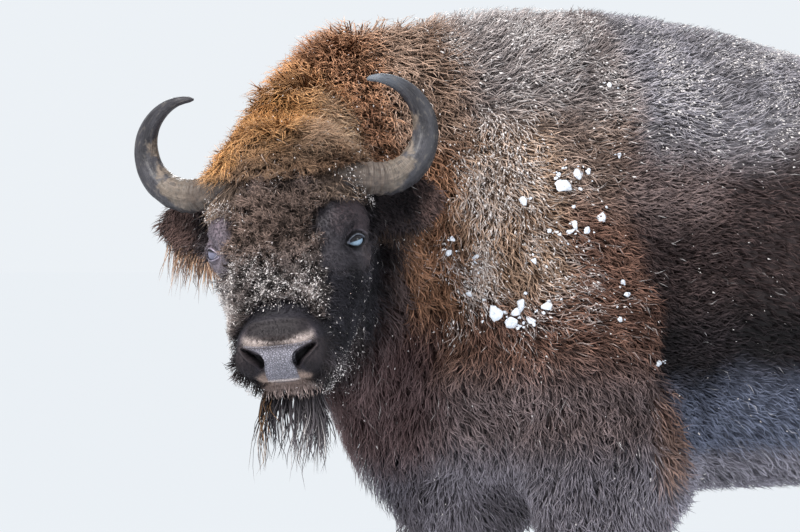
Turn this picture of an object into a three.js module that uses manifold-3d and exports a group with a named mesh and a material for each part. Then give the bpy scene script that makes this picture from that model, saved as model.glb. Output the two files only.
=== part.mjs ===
// A life-size European bison bull in winter coat, standing square with its head turned to its left.
// Millimetres, +X towards the head's end of the body, +Y to the animal's left, +Z up, floor at z = 0.
// The solids give the outline out to the tips of the coat. The flesh is lofted as a few closed forms,
// joined into one, and then parted by thin flat cuts where the named parts of the body meet.
import * as THREE from "three";
import { mergeVertices } from "three/addons/utils/BufferGeometryUtils.js";
import Module from "manifold-3d";

const wasm = await Module();
wasm.setup();

// ---- Driving sizes ----
const GAP = 0.5; // width of every thin cut
const WITHERS = 1872; // floor to the top of the hump's coat
const CROUP = 1690; // floor to the top of the hindquarters
const BELLY = 792; // floor to the underside of the chest
const CHEST_FRONT = 985; // foremost point of the breast
const RUMP_END = -1065; // hindmost point of the buttocks
const BARREL_HALF_WIDTH = 392; // widest half width of the ribs
const KNEE_Z = 480;
const HOCK_Z = 590;
const CORONET_Z = 72; // top of the hooves
const LEG_CUT_Z = 772; // where the legs leave the trunk, just under the chest
const CUT_FORE_X = 232; // forequarters to barrel
const CUT_HIND_X = -432; // barrel to hindquarters

// Where each foot stands, and how far its leg is from the middle of the body.
const FEET = {
  front_left: { x: 470, side: 1, out: 205 },
  front_right: { x: 590, side: -1, out: 205 },
  hind_left: { x: -880, side: 1, out: 190 },
  hind_right: { x: -740, side: -1, out: 190 },
};

// The head has its own frame: +X to the nose, +Y to the left eye, +Z out of the forehead, origin midway
// between the eyes.
const EYES_MIDDLE = new THREE.Vector3(1240, 345, 1345);
const HEAD_YAW = THREE.MathUtils.degToRad(54); // turned to the left
const HEAD_PITCH = THREE.MathUtils.degToRad(57); // nose down
const HEAD_ROLL = THREE.MathUtils.degToRad(5.5); // left side raised
const NAPE_YAW = THREE.MathUtils.degToRad(42); // the neck has turned this far where the head meets it
const NAPE_LEAN = THREE.MathUtils.degToRad(12); // and the parting leans forward over the poll
const EYE_OUT = 149;
const EYE_RADIUS = 20.5;
const NOSE_REACH = 326; // eyes to the front of the muzzle
const POLL_REACH = 268; // eyes to the back of the poll's wool

const HORN = { arcRadius: 110, baseRadius: 35, tipRadius: 5, sweepDeg: 196, rise: 106, out: 193, back: -60 };
const HOOF = { length: 128, claw: 57, slope: 26, parting: 7 };

// ---- Solids from three.js geometry ----
function solidOf(geometry) {
  const bare = geometry.clone();
  bare.deleteAttribute("normal");
  bare.deleteAttribute("uv");
  const merged = mergeVertices(bare, 1e-3);
  const mesh = new wasm.Mesh({
    numProp: 3,
    vertProperties: merged.attributes.position.array,
    triVerts: new Uint32Array(merged.index.array),
  });
  return new wasm.Manifold(mesh);
}

function geometryOf(solid) {
  const { vertProperties, triVerts } = solid.getMesh();
  const geometry = new THREE.BufferGeometry();
  geometry.setAttribute("position", new THREE.BufferAttribute(new Float32Array(vertProperties), 3));
  geometry.setIndex(new THREE.BufferAttribute(new Uint32Array(triVerts), 1));
  return geometry;
}

const join = (solids) => solids.reduce((whole, solid) => whole.add(solid));

// Catmull-Rom through evenly numbered values, so that sizes change as smoothly as the spine does.
function smoothValue(values, t) {
  const last = values.length - 1;
  const i = Math.min(Math.floor(t * last), last - 1);
  const k = t * last - i;
  const at = (j) => values[THREE.MathUtils.clamp(j, 0, last)];
  const [a, b, c, d] = [at(i - 1), at(i), at(i + 1), at(i + 2)];
  return 0.5 * (2 * b + (c - a) * k + (2 * a - 5 * b + 4 * c - d) * k * k + (3 * b - a - 3 * c + d) * k ** 3);
}

// A closed loft: the rings of a sphere moved on to sections along a spine. Each station is
// { at: [x, y, z], up, down, side }, its section's reach from the spine. A section is a superellipse whose
// upper and lower halves have their own powers, and the ends round off over the share capStart and capEnd.
function loft(stations, options) {
  const { reference, around, along, capStart = 0.1, capEnd = 0.1, powerUp = 2, powerDown = 2 } = options;
  const spine = new THREE.CatmullRomCurve3(stations.map((s) => new THREE.Vector3(...s.at)));
  const sizes = (key, t) => smoothValue(stations.map((s) => s[key]), t);
  const geometry = new THREE.SphereGeometry(1, around, along);
  const position = geometry.attributes.position;
  const power = (v, p) => Math.sign(v) * Math.abs(v) ** (2 / p);
  for (let row = 0; row <= along; row++) {
    const t = row === along ? 1 : row / along;
    const start = Math.min(t / capStart, 1);
    const end = Math.min((1 - t) / capEnd, 1);
    const cap = Math.sqrt(1 - (1 - start) ** 2) * Math.sqrt(1 - (1 - end) ** 2);
    const centre = spine.getPoint(t);
    const travel = spine.getTangent(t);
    const up = reference.clone().addScaledVector(travel, -reference.dot(travel)).normalize();
    const side = up.clone().cross(travel);
    const reach = { up: sizes("up", t), down: sizes("down", t), side: sizes("side", t) };
    for (let column = 0; column <= around; column++) {
      const turn = ((column % around) / around) * 2 * Math.PI;
      const high = Math.cos(turn) >= 0;
      const vertical = power(Math.cos(turn), high ? powerUp : powerDown) * (high ? reach.up : reach.down);
      const lateral = power(Math.sin(turn), high ? powerUp : powerDown) * reach.side;
      const point = centre.clone();
      if (row > 0 && row < along) point.addScaledVector(up, vertical * cap).addScaledVector(side, lateral * cap);
      position.setXYZ(row * (around + 1) + column, point.x, point.y, point.z);
    }
  }
  return solidOf(geometry);
}

const Z_UP = new THREE.Vector3(0, 0, 1);
const FORWARD = new THREE.Vector3(1, 0, 0);

function ellipsoid(radii, matrix, detail = 20) {
  const geometry = new THREE.SphereGeometry(1, detail, Math.round(detail * 0.6));
  return solidOf(geometry.scale(...radii).applyMatrix4(matrix));
}

// A thin plate that parts the flesh: size along its own x and y, its normal along z.
function plate(width, height, matrix) {
  return solidOf(new THREE.BoxGeometry(width, height, GAP).applyMatrix4(matrix));
}

function placed(at, rotation = new THREE.Euler()) {
  return new THREE.Matrix4().makeRotationFromEuler(rotation).setPosition(...at);
}

// ---- Trunk: withers, barrel and croup in one loft, tail end first ----
function station(x, top, bottom, side) {
  const middle = bottom + (top - bottom) * 0.46;
  return { at: [x, 0, middle], up: top - middle, down: middle - bottom, side };
}

function makeTrunk() {
  return loft(
    [
      station(RUMP_END, 1500, 1170, 170),
      station(-930, CROUP - 62, 1010, 258),
      station(-760, CROUP, 905, 300),
      station(-560, CROUP + 26, 850, 326),
      station(-320, CROUP + 50, 806, 365),
      station(-60, CROUP + 100, BELLY + 4, BARREL_HALF_WIDTH),
      station(190, WITHERS - 22, BELLY, BARREL_HALF_WIDTH - 4),
      station(430, WITHERS - 6, BELLY, 378),
      station(660, WITHERS - 8, BELLY, 340),
      station(850, WITHERS - 44, BELLY + 62, 258),
      station(CHEST_FRONT, 1680, 1030, 160),
    ],
    { reference: Z_UP, around: 22, along: 19, capStart: 0.1, capEnd: 0.1, powerUp: 1.85, powerDown: 2.25 },
  );
}

// ---- Neck: from inside the shoulders round to the back of the head, with its crest and throat mane ----
function makeNeck() {
  return loft(
    [
      { at: [420, 0, 1330], up: 500, down: 420, side: 270 },
      { at: [700, 0, 1365], up: 490, down: 440, side: 278 },
      { at: [900, 28, 1400], up: 450, down: 430, side: 250 },
      { at: [1045, 98, 1425], up: 402, down: 380, side: 198 },
      { at: [1135, 180, 1430], up: 284, down: 300, side: 170 },
      { at: [1182, 262, 1420], up: 170, down: 190, side: 140 },
    ],
    { reference: Z_UP, around: 20, along: 14, capStart: 0.2, capEnd: 0.16, powerUp: 1.9, powerDown: 1.9 },
  );
}

// The brisket's mane: a keel of long hair under the throat and between the forelegs.
function makeBrisket() {
  return loft(
    [
      { at: [400, 0, 880], up: 120, down: 130, side: 104 },
      { at: [560, 0, 880], up: 160, down: 188, side: 124 },
      { at: [700, 0, 890], up: 200, down: 200, side: 130 },
      { at: [820, 5, 960], up: 240, down: 162, side: 124 },
      { at: [905, 25, 1090], up: 240, down: 115, side: 108 },
      { at: [960, 75, 1230], up: 180, down: 90, side: 90 },
    ],
    { reference: Z_UP, around: 14, along: 10, capStart: 0.25, capEnd: 0.25, powerDown: 1.7 },
  );
}

// ---- Legs ----
// A station's reach is up to the front, down to the back and side to the side.
function makeForeleg({ x, side, out }) {
  const y = side * out;
  const tuft = x < 500 ? 1 : 0.85; // the elbow's fringe is fuller on the leg that stands further back
  return loft(
    [
      { at: [x + 110, side * 170, 1420], up: 190, down: 210, side: 165 },
      { at: [x + 60, side * 215, 1200], up: 215, down: 225, side: 182 },
      { at: [x + 20, side * 226, 1010], up: 200, down: 245 * tuft, side: 168 },
      { at: [x, side * 226, 880], up: 182, down: 262 * tuft, side: 148 },
      { at: [x - 2, side * 222, 770], up: 152, down: 215 * tuft, side: 118 },
      { at: [x, y, 650], up: 118, down: 118, side: 98 },
      { at: [x + 6, y, 545], up: 74, down: 68, side: 70 },
      { at: [x + 8, y, KNEE_Z], up: 68, down: 60, side: 64 },
      { at: [x + 2, y, 385], up: 46, down: 46, side: 43 },
      { at: [x - 2, y, 270], up: 42, down: 45, side: 42 },
      { at: [x, y, 175], up: 50, down: 58, side: 51 },
      { at: [x + 16, y, 118], up: 45, down: 50, side: 47 },
      { at: [x + 30, y, CORONET_Z - 12], up: 56, down: 54, side: 56 },
      { at: [x + 34, y, CORONET_Z - 70], up: 56, down: 54, side: 56 },
    ],
    { reference: FORWARD, around: 12, along: 20, capStart: 0.08, capEnd: 0.02 },
  );
}

function makeHindleg({ x, side, out }) {
  const y = side * out;
  return loft(
    [
      { at: [x + 150, side * 120, 1500], up: 200, down: 200, side: 120 },
      { at: [x + 170, side * 185, 1290], up: 245, down: 240, side: 145 },
      { at: [x + 180, side * 205, 1090], up: 245, down: 235, side: 142 },
      { at: [x + 170, side * 212, 930], up: 190, down: 190, side: 122 },
      { at: [x + 110, side * 206, 800], up: 125, down: 135, side: 96 },
      { at: [x + 32, y, 680], up: 74, down: 86, side: 68 },
      { at: [x - 8, y, HOCK_Z], up: 62, down: 68, side: 60 },
      { at: [x - 10, y, 480], up: 50, down: 52, side: 46 },
      { at: [x - 2, y, 340], up: 42, down: 45, side: 42 },
      { at: [x, y, 185], up: 50, down: 58, side: 51 },
      { at: [x + 16, y, 120], up: 45, down: 50, side: 47 },
      { at: [x + 30, y, CORONET_Z - 12], up: 56, down: 54, side: 56 },
      { at: [x + 34, y, CORONET_Z - 70], up: 56, down: 54, side: 56 },
    ],
    { reference: FORWARD, around: 12, along: 19, capStart: 0.08, capEnd: 0.02 },
  );
}

// One claw of a cloven hoof: a frustum leaning forward, flat on the floor, cut flat on its inner side.
function makeClaw(footX, y, inward) {
  const height = CORONET_Z - GAP;
  const wall = new THREE.CylinderGeometry(0.8, 1, height, 14, 1).rotateX(Math.PI / 2);
  wall.translate(0, 0, height / 2).scale(HOOF.length / 2, HOOF.claw * 1.08, 1);
  const lean = HOOF.slope / height;
  wall.applyMatrix4(new THREE.Matrix4().makeShear(0, 0, 0, 0, -lean, 0));
  wall.translate(footX + 34 + HOOF.slope, y, 0);
  const inner = new THREE.BoxGeometry(400, 200, 400).translate(footX, y + inward * (100 - HOOF.parting / 2), 0);
  return solidOf(wall).subtract(solidOf(inner));
}

function makeDewclaw(footX, y, sideways, grow = 0) {
  const at = placed([footX - 50, y + sideways * 26, 136], new THREE.Euler(0, 0.5, 0));
  return ellipsoid([16 + grow, 13 + grow, 24 + grow], at, 7);
}

// ---- Tail ----
function makeTail() {
  return loft(
    [
      { at: [-880, 0, 1490], up: 56, down: 56, side: 58 },
      { at: [-1000, 0, 1452], up: 46, down: 50, side: 48 },
      { at: [-1095, 4, 1375], up: 36, down: 36, side: 36 },
      { at: [-1146, 8, 1250], up: 32, down: 32, side: 32 },
      { at: [-1146, 12, 1090], up: 40, down: 40, side: 38 },
      { at: [-1138, 14, 950], up: 56, down: 56, side: 52 },
      { at: [-1130, 14, 810], up: 48, down: 48, side: 44 },
      { at: [-1124, 14, 690], up: 24, down: 24, side: 22 },
    ],
    { reference: FORWARD, around: 10, along: 14, capStart: 0.05, capEnd: 0.12 },
  );
}

// ---- Head, in its own frame ----
const headMatrix = new THREE.Matrix4()
  .makeTranslation(EYES_MIDDLE)
  .multiply(new THREE.Matrix4().makeRotationZ(HEAD_YAW))
  .multiply(new THREE.Matrix4().makeRotationX(HEAD_ROLL))
  .multiply(new THREE.Matrix4().makeRotationY(HEAD_PITCH));
const moved = (solid) => solid.transform(headMatrix.elements);

function headStation(x, top, bottom, side) {
  const middle = bottom + (top - bottom) * 0.6;
  return { at: [x, 0, middle], up: top - middle, down: middle - bottom, side };
}

function makeSkull() {
  return loft(
    [
      headStation(-POLL_REACH, 40, -120, 112),
      headStation(-200, 112, -190, 148),
      headStation(-120, 128, -232, 170),
      headStation(-40, 122, -248, 170),
      headStation(40, 102, -240, 162),
      headStation(115, 84, -214, 148),
      headStation(185, 72, -184, 130),
      headStation(250, 62, -156, 114),
      headStation(298, 47, -130, 97),
      headStation(NOSE_REACH, 22, -84, 74),
    ],
    { reference: Z_UP, around: 20, along: 19, capStart: 0.16, capEnd: 0.1, powerUp: 2.35, powerDown: 2.2 },
  );
}

// The wool that overhangs the forehead, fullest between the horns.
function makeForelock() {
  const at = placed([-150, 0, 62], new THREE.Euler(0, 0.15, 0));
  return ellipsoid([118, 138, 92], at, 14);
}

// A horn's centreline is one arc that leaves the skull sideways, rises and turns in over the poll.
// Its plane stands upright when the head hangs at its pitch, and leans back a little.
class HornPath extends THREE.Curve {
  constructor(side) {
    super();
    this.side = side;
  }
  getPoint(t, target = new THREE.Vector3()) {
    const turn = THREE.MathUtils.degToRad(-98 + HORN.sweepDeg * t);
    const out = HORN.out + HORN.arcRadius * Math.cos(turn) * 1.02;
    const rise = HORN.rise + HORN.arcRadius * (1 + Math.sin(turn)) + 4;
    const back = HORN.back - 55 * Math.sin(Math.PI * Math.min(t * 1.1, 1));
    const [s, c] = [Math.sin(HEAD_PITCH), Math.cos(HEAD_PITCH)];
    return target.set(-rise * s + back * c, this.side * out, rise * c + back * s);
  }
}

const HORN_PLANE_NORMAL = new THREE.Vector3(Math.cos(HEAD_PITCH), 0, Math.sin(HEAD_PITCH));
function makeHorn(side, grow = 0) {
  const path = new HornPath(side);
  const stations = [-0.1, 0, 0.12, 0.25, 0.4, 0.55, 0.7, 0.84, 0.94, 1].map((t) => {
    const shrink = Math.max(t, 0) ** 1.7;
    const radius = THREE.MathUtils.lerp(HORN.baseRadius, HORN.tipRadius, shrink) + grow;
    return { at: path.getPoint(t).toArray(), up: radius, down: radius, side: radius };
  });
  return loft(stations, { reference: HORN_PLANE_NORMAL, around: 9, along: 17, capStart: 0.03, capEnd: 0.03 });
}

// An ear is a drooping leaf: it leaves the head sideways behind the horn, hollow to the front, fringed below.
const EAR_ROOT = [-118, 148, -62];
const EAR_TIP = [-150, 318, -70];
function makeEarLeaf(side, grow = 0) {
  const [root, tip] = [EAR_ROOT, EAR_TIP].map((p) => new THREE.Vector3(p[0], side * p[1], p[2]));
  const stations = [
    [0, 30, 44, 24],
    [0.2, 36, 84, 24],
    [0.45, 42, 146, 22],
    [0.7, 38, 144, 19],
    [0.88, 28, 72, 14],
    [1, 16, 26, 10],
  ].map(([t, up, down, thick]) => ({
    at: root.clone().lerp(tip, t + (2 * t - 1) * grow * 0.01).toArray(),
    up: up + grow,
    down: down + grow,
    side: thick + grow,
  }));
  const droop = new THREE.Vector3(-Math.sin(HEAD_PITCH), 0, Math.cos(HEAD_PITCH));
  return loft(stations, { reference: droop, around: 12, along: 10, capStart: 0.06, capEnd: 0.16 });
}

function makeEar(side) {
  const cup = placed([-86, side * 252, -52], new THREE.Euler(0, 0, side * 0.2));
  return makeEarLeaf(side).subtract(ellipsoid([30, 62, 34], cup, 8)).subtract(makeHorn(side, GAP));
}

function makeEye(side, grow = 0) {
  return ellipsoid(Array(3).fill(EYE_RADIUS + grow), placed([0, side * EYE_OUT, 0]), 12);
}

// The dish in the coat through which the eye shows.
function makeSocket(side) {
  return ellipsoid([30, 17, 22], placed([0, side * (EYE_OUT + 25), 2]), 10);
}

function makeNostril(side) {
  const at = placed([NOSE_REACH - 8, side * 52, 14], new THREE.Euler(0.45 * side, 0, 0));
  return ellipsoid([26, 24, 13], at, 10);
}

// The beard hangs straight down from the chin, whatever the head does.
function makeBeard() {
  const chin = new THREE.Vector3(262, 0, -118).applyMatrix4(headMatrix);
  const ahead = new THREE.Vector3(Math.cos(HEAD_YAW), Math.sin(HEAD_YAW), 0);
  const hang = [
    [-18, 34, 30, 46],
    [0, 66, 62, 70],
    [40, 62, 60, 68],
    [90, 40, 46, 52],
    [130, 20, 26, 32],
    [150, 8, 10, 14],
  ];
  const stations = hang.map(([drop, up, down, side]) => {
    const at = chin.clone().addScaledVector(ahead, -drop * 0.1);
    return { at: [at.x, at.y, at.z - drop], up, down, side };
  });
  return loft(stations, { reference: ahead, around: 10, along: 9, capStart: 0.2, capEnd: 0.1 });
}

// ---- Parting the flesh ----
const acrossX = (x, tilt = 0) => placed([x, 0, 1200], new THREE.Euler(0, Math.PI / 2 - tilt, 0));
const inHead = (matrix) => headMatrix.clone().multiply(matrix);

function trunkCuts() {
  const neck = placed([842, 20, 1330], new THREE.Euler(0, Math.PI / 2 - 0.26, 0));
  const nape = placed([1100, 150, 1400], new THREE.Euler(0, Math.PI / 2 + NAPE_LEAN, NAPE_YAW, "ZYX"));
  return [
    plate(1500, 1100, neck),
    plate(1200, 900, nape),
    plate(2200, 1100, acrossX(CUT_FORE_X)),
    plate(2200, 1100, acrossX(CUT_HIND_X)),
    plate(84, 100, placed([-1095, 4, 1375], new THREE.Euler(0, 0.61, 0))),
    plate(150, 150, placed([-1146, 12, 1100])),
  ];
}

function legCuts(name) {
  const { x, side, out } = FEET[name];
  const fore = name.startsWith("front");
  const joint = fore ? KNEE_Z : HOCK_Z;
  const topX = fore ? x : x + 100;
  return [plate(500, 284, placed([topX - 20, side * 242, LEG_CUT_Z])), plate(260, 220, placed([x, side * out, joint]))];
}

// A point inside each part that the cuts make, and the name of the part.
function seeds() {
  const points = {
    forequarters: [500, 0, 1400],
    barrel: [0, 0, 1300],
    hindquarters: [-700, 0, 1350],
    neck: [930, 80, 1400],
    head: new THREE.Vector3(0, 0, 20).applyMatrix4(headMatrix).toArray(),
    tail_dock: [-1145, 8, 1240],
    tail_tuft: [-1138, 14, 950],
  };
  for (const [name, { x, side, out }] of Object.entries(FEET)) {
    points[`leg_${name}_upper`] = name.startsWith("front") ? [x, side * out, 640] : [x + 60, side * out, 720];
    points[`leg_${name}_lower`] = [x, side * out, 300];
  }
  return points;
}

function partContaining(parts, point) {
  const probe = solidOf(new THREE.BoxGeometry(6, 6, 6).translate(...point));
  return parts.find((part) => part.intersect(probe).volume() > 100);
}

// ---- Finishes ----
const finish = (color, roughness, metalness = 0) => new THREE.MeshStandardMaterial({ color, roughness, metalness });
const COAT = finish("#6b4026", 0.95);
const MANE = finish("#7d4a26", 0.95);
const FACE = finish("#4a3428", 0.95);
const BEARD = finish("#2e2622", 0.9);
const HORN_SHEATH = finish("#5f5a55", 0.55);
const HOOF_WALL = finish("#2b2724", 0.6);
const EYEBALL = finish("#20181a", 0.15);
const COAT_OF = { neck: MANE, forequarters: MANE };

// ---- Assembly ----
const bison = new THREE.Group();

function show(name, solid, material) {
  const mesh = new THREE.Mesh(geometryOf(solid), material);
  mesh.name = name;
  bison.add(mesh);
}

const SIDES = { left: 1, right: -1 };
const ALL_SIDES = Object.entries(SIDES);

const skull = join([makeSkull(), makeForelock()]);
const legs = Object.entries(FEET).map(([name, foot]) => (name.startsWith("front") ? makeForeleg(foot) : makeHindleg(foot)));
let flesh = join([makeTrunk(), makeNeck(), makeBrisket(), makeTail(), moved(skull), ...legs]);

// Hooves: the flesh stops at the coronet, and the claws stand under it.
flesh = flesh.subtract(solidOf(new THREE.BoxGeometry(4000, 2000, CORONET_Z).translate(0, 0, CORONET_Z / 2)));
for (const [name, { x, side, out }] of Object.entries(FEET)) {
  for (const [where, sideways] of [["outer", side], ["inner", -side]]) {
    flesh = flesh.subtract(makeDewclaw(x, side * out, sideways, GAP));
    show(`hoof_${name}_${where}`, makeClaw(x, side * out, -sideways), HOOF_WALL);
    show(`dewclaw_${name}_${where}`, makeDewclaw(x, side * out, sideways), HOOF_WALL);
  }
}

for (const [name, side] of ALL_SIDES) {
  const fitted = [makeEye(side, GAP), makeHorn(side, GAP), makeEarLeaf(side, 2 * GAP)];
  for (const hollow of [...fitted, makeSocket(side), makeNostril(side)]) flesh = flesh.subtract(moved(hollow));
  show(`eye_${name}`, moved(makeEye(side)), EYEBALL);
  show(`horn_${name}`, moved(makeHorn(side)), HORN_SHEATH);
  show(`ear_${name}`, moved(makeEar(side)), FACE);
}

const beard = makeBeard();
const cuts = [...trunkCuts(), ...Object.keys(FEET).flatMap(legCuts)];
const parts = flesh.subtract(join(cuts)).decompose();
const mouth = inHead(placed([180, 0, -93], new THREE.Euler(0, -0.4, 0)));
for (const [name, point] of Object.entries(seeds())) {
  const part = partContaining(parts, point);
  if (name !== "head") {
    show(name, part, COAT_OF[name] ?? COAT);
    continue;
  }
  const [upper, lower] = part.subtract(plate(1000, 500, mouth)).decompose().sort((a, b) => b.volume() - a.volume());
  const jaw = lower.subtract(beard);
  show("head", upper, FACE);
  show("jaw", jaw, FACE);
}
show("beard", beard.subtract(flesh), BEARD);

// The origin is on the floor, under the middle of the whole animal.
const box = new THREE.Box3().setFromObject(bison);
const middle = box.getCenter(new THREE.Vector3());
bison.position.set(-middle.x, -middle.y, 0);

export default bison;
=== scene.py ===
"""A life-size European bison bull in winter coat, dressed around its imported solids.

One skin lies inside the solids by the depth of the coat. Closed locks of hair stand on it, laid out by zones
that also colour the skin. Metres, +X towards the head, +Y to the animal's left, +Z up from the floor.
"""

import math

import bmesh
import bpy
import numpy as np
from bpy.props import FloatProperty, FloatVectorProperty, IntProperty, PointerProperty
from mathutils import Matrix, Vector


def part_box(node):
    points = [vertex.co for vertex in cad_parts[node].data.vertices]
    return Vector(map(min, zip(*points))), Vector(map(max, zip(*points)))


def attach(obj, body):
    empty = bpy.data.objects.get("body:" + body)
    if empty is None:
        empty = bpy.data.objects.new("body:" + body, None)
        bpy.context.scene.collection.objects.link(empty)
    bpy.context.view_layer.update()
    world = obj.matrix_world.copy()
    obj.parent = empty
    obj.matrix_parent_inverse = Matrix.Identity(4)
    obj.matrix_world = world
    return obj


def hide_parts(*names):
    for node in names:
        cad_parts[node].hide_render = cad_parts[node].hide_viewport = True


bl_info = {
    "name": "Bison Bull",
    "version": (1, 0, 0),
    "blender": (4, 5, 0),
    "location": "View3D > Sidebar > Bison",
    "description": "Skin, winter coat, horns, eyes and hooves of a life-size European bison bull",
    "category": "Add Mesh",
}

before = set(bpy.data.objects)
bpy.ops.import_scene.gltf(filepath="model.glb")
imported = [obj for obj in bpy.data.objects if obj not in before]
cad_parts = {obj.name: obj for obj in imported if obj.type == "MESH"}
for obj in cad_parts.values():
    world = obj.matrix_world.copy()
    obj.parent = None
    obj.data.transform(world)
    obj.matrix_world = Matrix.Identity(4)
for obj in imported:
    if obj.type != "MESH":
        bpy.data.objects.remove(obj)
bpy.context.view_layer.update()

# ---- Landmarks, read from the solids ----


def corners(node):
    """Lowest and highest corner of a solid as arrays."""
    return [np.array(corner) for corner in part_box(node)]


def middle(node):
    """Centre of a solid's box."""
    return sum(corners(node)) / 2


LEGS = ("front_left", "front_right", "hind_left", "hind_right")
FLESH = ["head", "jaw", "neck", "forequarters", "barrel", "hindquarters", "tail_dock"]
FLESH += [f"leg_{leg}_{part}" for leg in LEGS for part in ("upper", "lower")]

HANDS = {1: "left", -1: "right"}
EYES = {hand: middle(f"eye_{name}") for hand, name in HANDS.items()}
EYES_MIDDLE = (EYES[1] + EYES[-1]) / 2
EYE_RADIUS = float(corners("eye_left")[1][2] - corners("eye_left")[0][2]) / 2
MID_Y = float(middle("barrel")[1])
FEET = {leg: (middle(f"hoof_{leg}_outer") + middle(f"hoof_{leg}_inner")) / 2 for leg in LEGS}
TAIL = middle("tail_tuft")

# How the head hangs: turned to the left, rolled a little, nose down.
HEAD_YAW, HEAD_ROLL, HEAD_PITCH = math.radians(54), math.radians(5.5), math.radians(57)


def turn(axis, angle):
    """Rotation matrix about a coordinate axis."""
    c, s = math.cos(angle), math.sin(angle)
    i, j = (axis + 1) % 3, (axis + 2) % 3
    m = np.eye(3)
    m[i, i], m[j, j], m[j, i], m[i, j] = c, c, s, -s
    return m


# Level axes of the hanging head: forward, left and down, as columns.
LEVEL_AXES = turn(2, HEAD_YAW) @ turn(0, HEAD_ROLL) @ np.diag([1.0, 1.0, -1.0])
HEAD_AXES = turn(2, HEAD_YAW) @ turn(0, HEAD_ROLL) @ turn(1, HEAD_PITCH)
AHEAD, LEFT, DOWN = LEVEL_AXES.T


def to_level(p):
    """Row points as (forward, left, down) from between the eyes, in the hanging head's level frame."""
    return (p - EYES_MIDDLE) @ LEVEL_AXES


def from_level(q):
    """The reverse of to_level."""
    return np.asarray(q) @ LEVEL_AXES.T + EYES_MIDDLE


def to_head(p):
    """Row points as (nose, left, dorsal) from between the eyes."""
    return (p - EYES_MIDDLE) @ HEAD_AXES


def from_head(q):
    """The reverse of to_head."""
    return np.asarray(q) @ HEAD_AXES.T + EYES_MIDDLE


# ---- Small mathematics on whole arrays ----


def ramp(value, low, high):
    """Smooth step from 0 at low to 1 at high, and the other way where high is below low."""
    t = np.clip((value - low) / (high - low), 0, 1)
    return t * t * (3 - 2 * t)


def band(value, low, high, soft):
    """1 between low and high, fading to 0 over soft beyond them."""
    return ramp(value, low - soft, low) * ramp(value, high + soft, high)


def bell(value, middle_value, width):
    """A soft peak: exp of minus the square of the distance from the middle in widths."""
    return np.exp(-(((value - middle_value) / width) ** 2))


def circle(count):
    """Angles once round, without the last."""
    return np.linspace(0, 2 * np.pi, count, endpoint=False)


def unit(v):
    """Rows scaled to length 1."""
    return v / np.maximum(np.linalg.norm(v, axis=-1, keepdims=True), 1e-9)


def laid_flat(v, normals):
    """Rows without their part along the normals."""
    return v - normals * (v * normals).sum(1, keepdims=True)


def hashed(i, j, k, seed):
    """Integer lattice points to repeatable numbers from 0 to 1."""
    h = (i * 374761393 + j * 668265263 + k * 1440662683 + seed * 974634777) & 0xFFFFFFFF
    h = ((h ^ (h >> 13)) * 1274126177) & 0xFFFFFFFF
    h = ((h ^ (h >> 16)) * 2246822519) & 0xFFFFFFFF
    return (h & 0xFFFFFF) / float(0xFFFFFF)


def noise(p, scale, seed=0):
    """Value noise from 0 to 1: lattice values of that spacing, blended by smooth steps along each axis."""
    q = p / scale
    cell = np.floor(q).astype(np.int64)
    t = q - cell
    t = t * t * (3 - 2 * t)
    total = 0
    for corner in range(8):
        d = np.array([corner & 1, corner >> 1 & 1, corner >> 2 & 1])
        weight = np.prod(np.where(d, t, 1 - t), axis=-1)
        at = cell + d
        total = total + weight * hashed(at[..., 0], at[..., 1], at[..., 2], seed)
    return total


def nearest_feature(p, scale, seed):
    """For each point, the nearest of one jittered feature point per lattice cell, as in a cell pattern."""
    cell = np.floor(p / scale).astype(np.int64)
    best = np.full(len(p), 1e9)
    found = p.copy()
    for offset in np.ndindex(3, 3, 3):
        at = cell + np.array(offset) - 1
        jitter = np.stack([hashed(*at.T, seed + 11 * a) for a in range(3)], axis=-1)
        feature = (at + jitter) * scale
        distance = np.linalg.norm(p - feature, axis=1)
        closer = distance < best
        best[closer] = distance[closer]
        found[closer] = feature[closer]
    return found


def linear(*srgb):
    """An sRGB colour given in 0 to 255 as linear light."""
    c = np.array(srgb) / 255
    return np.where(c <= 0.04045, c / 12.92, ((c + 0.055) / 1.055) ** 2.4)


def between(first, second, share):
    """One colour for each share, from the first sRGB colour to the second."""
    return linear(*first) + (linear(*second) - linear(*first)) * share[:, None]


def painted(colour, *layers):
    """A colour under layers, each a share for every point and its own linear colour."""
    for share, over in layers:
        colour = colour + share[:, None] * (over - colour)
    return colour


# ---- Meshes ----


def read(items, key, width=1, kind=np.float32):
    """One value, or one row of values, for each item of a mesh's collection."""
    values = np.empty(len(items) * width, kind)
    items.foreach_get(key, values)
    return values.reshape(-1, width) if width > 1 else values


def mesh_arrays(mesh):
    """A mesh's points and point normals as arrays."""
    return read(mesh.vertices, "co", 3).astype(float), read(mesh.vertices, "normal", 3).astype(float)


def mesh_faces(mesh, sides):
    """The faces of a mesh whose faces all have as many sides."""
    return read(mesh.loops, "vertex_index", kind=np.int32).reshape(-1, sides)


def place_points(mesh, points):
    """Moves a mesh's points."""
    mesh.vertices.foreach_set("co", np.asarray(points, np.float32).ravel())


def summed(places, rows, count):
    """Rows of three added up at their places, for count places."""
    return np.stack([np.bincount(places, rows[:, axis], count) for axis in range(3)], axis=1)


def centres_of(skin):
    """The middles of the faces of (points, normals, faces)."""
    return skin[0][skin[2]].mean(axis=1)


def set_attribute(mesh, name, values, kind="FLOAT"):
    """A point attribute from an array: FLOAT, or FLOAT_COLOR from rows of three."""
    attribute = mesh.attributes.new(name, kind, "POINT")
    if kind == "FLOAT_COLOR":
        rgba = np.ones((len(values), 4), np.float32)
        rgba[:, :3] = values
        attribute.data.foreach_set("color", rgba.ravel())
    else:
        attribute.data.foreach_set("value", np.asarray(values, np.float32))


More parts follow.
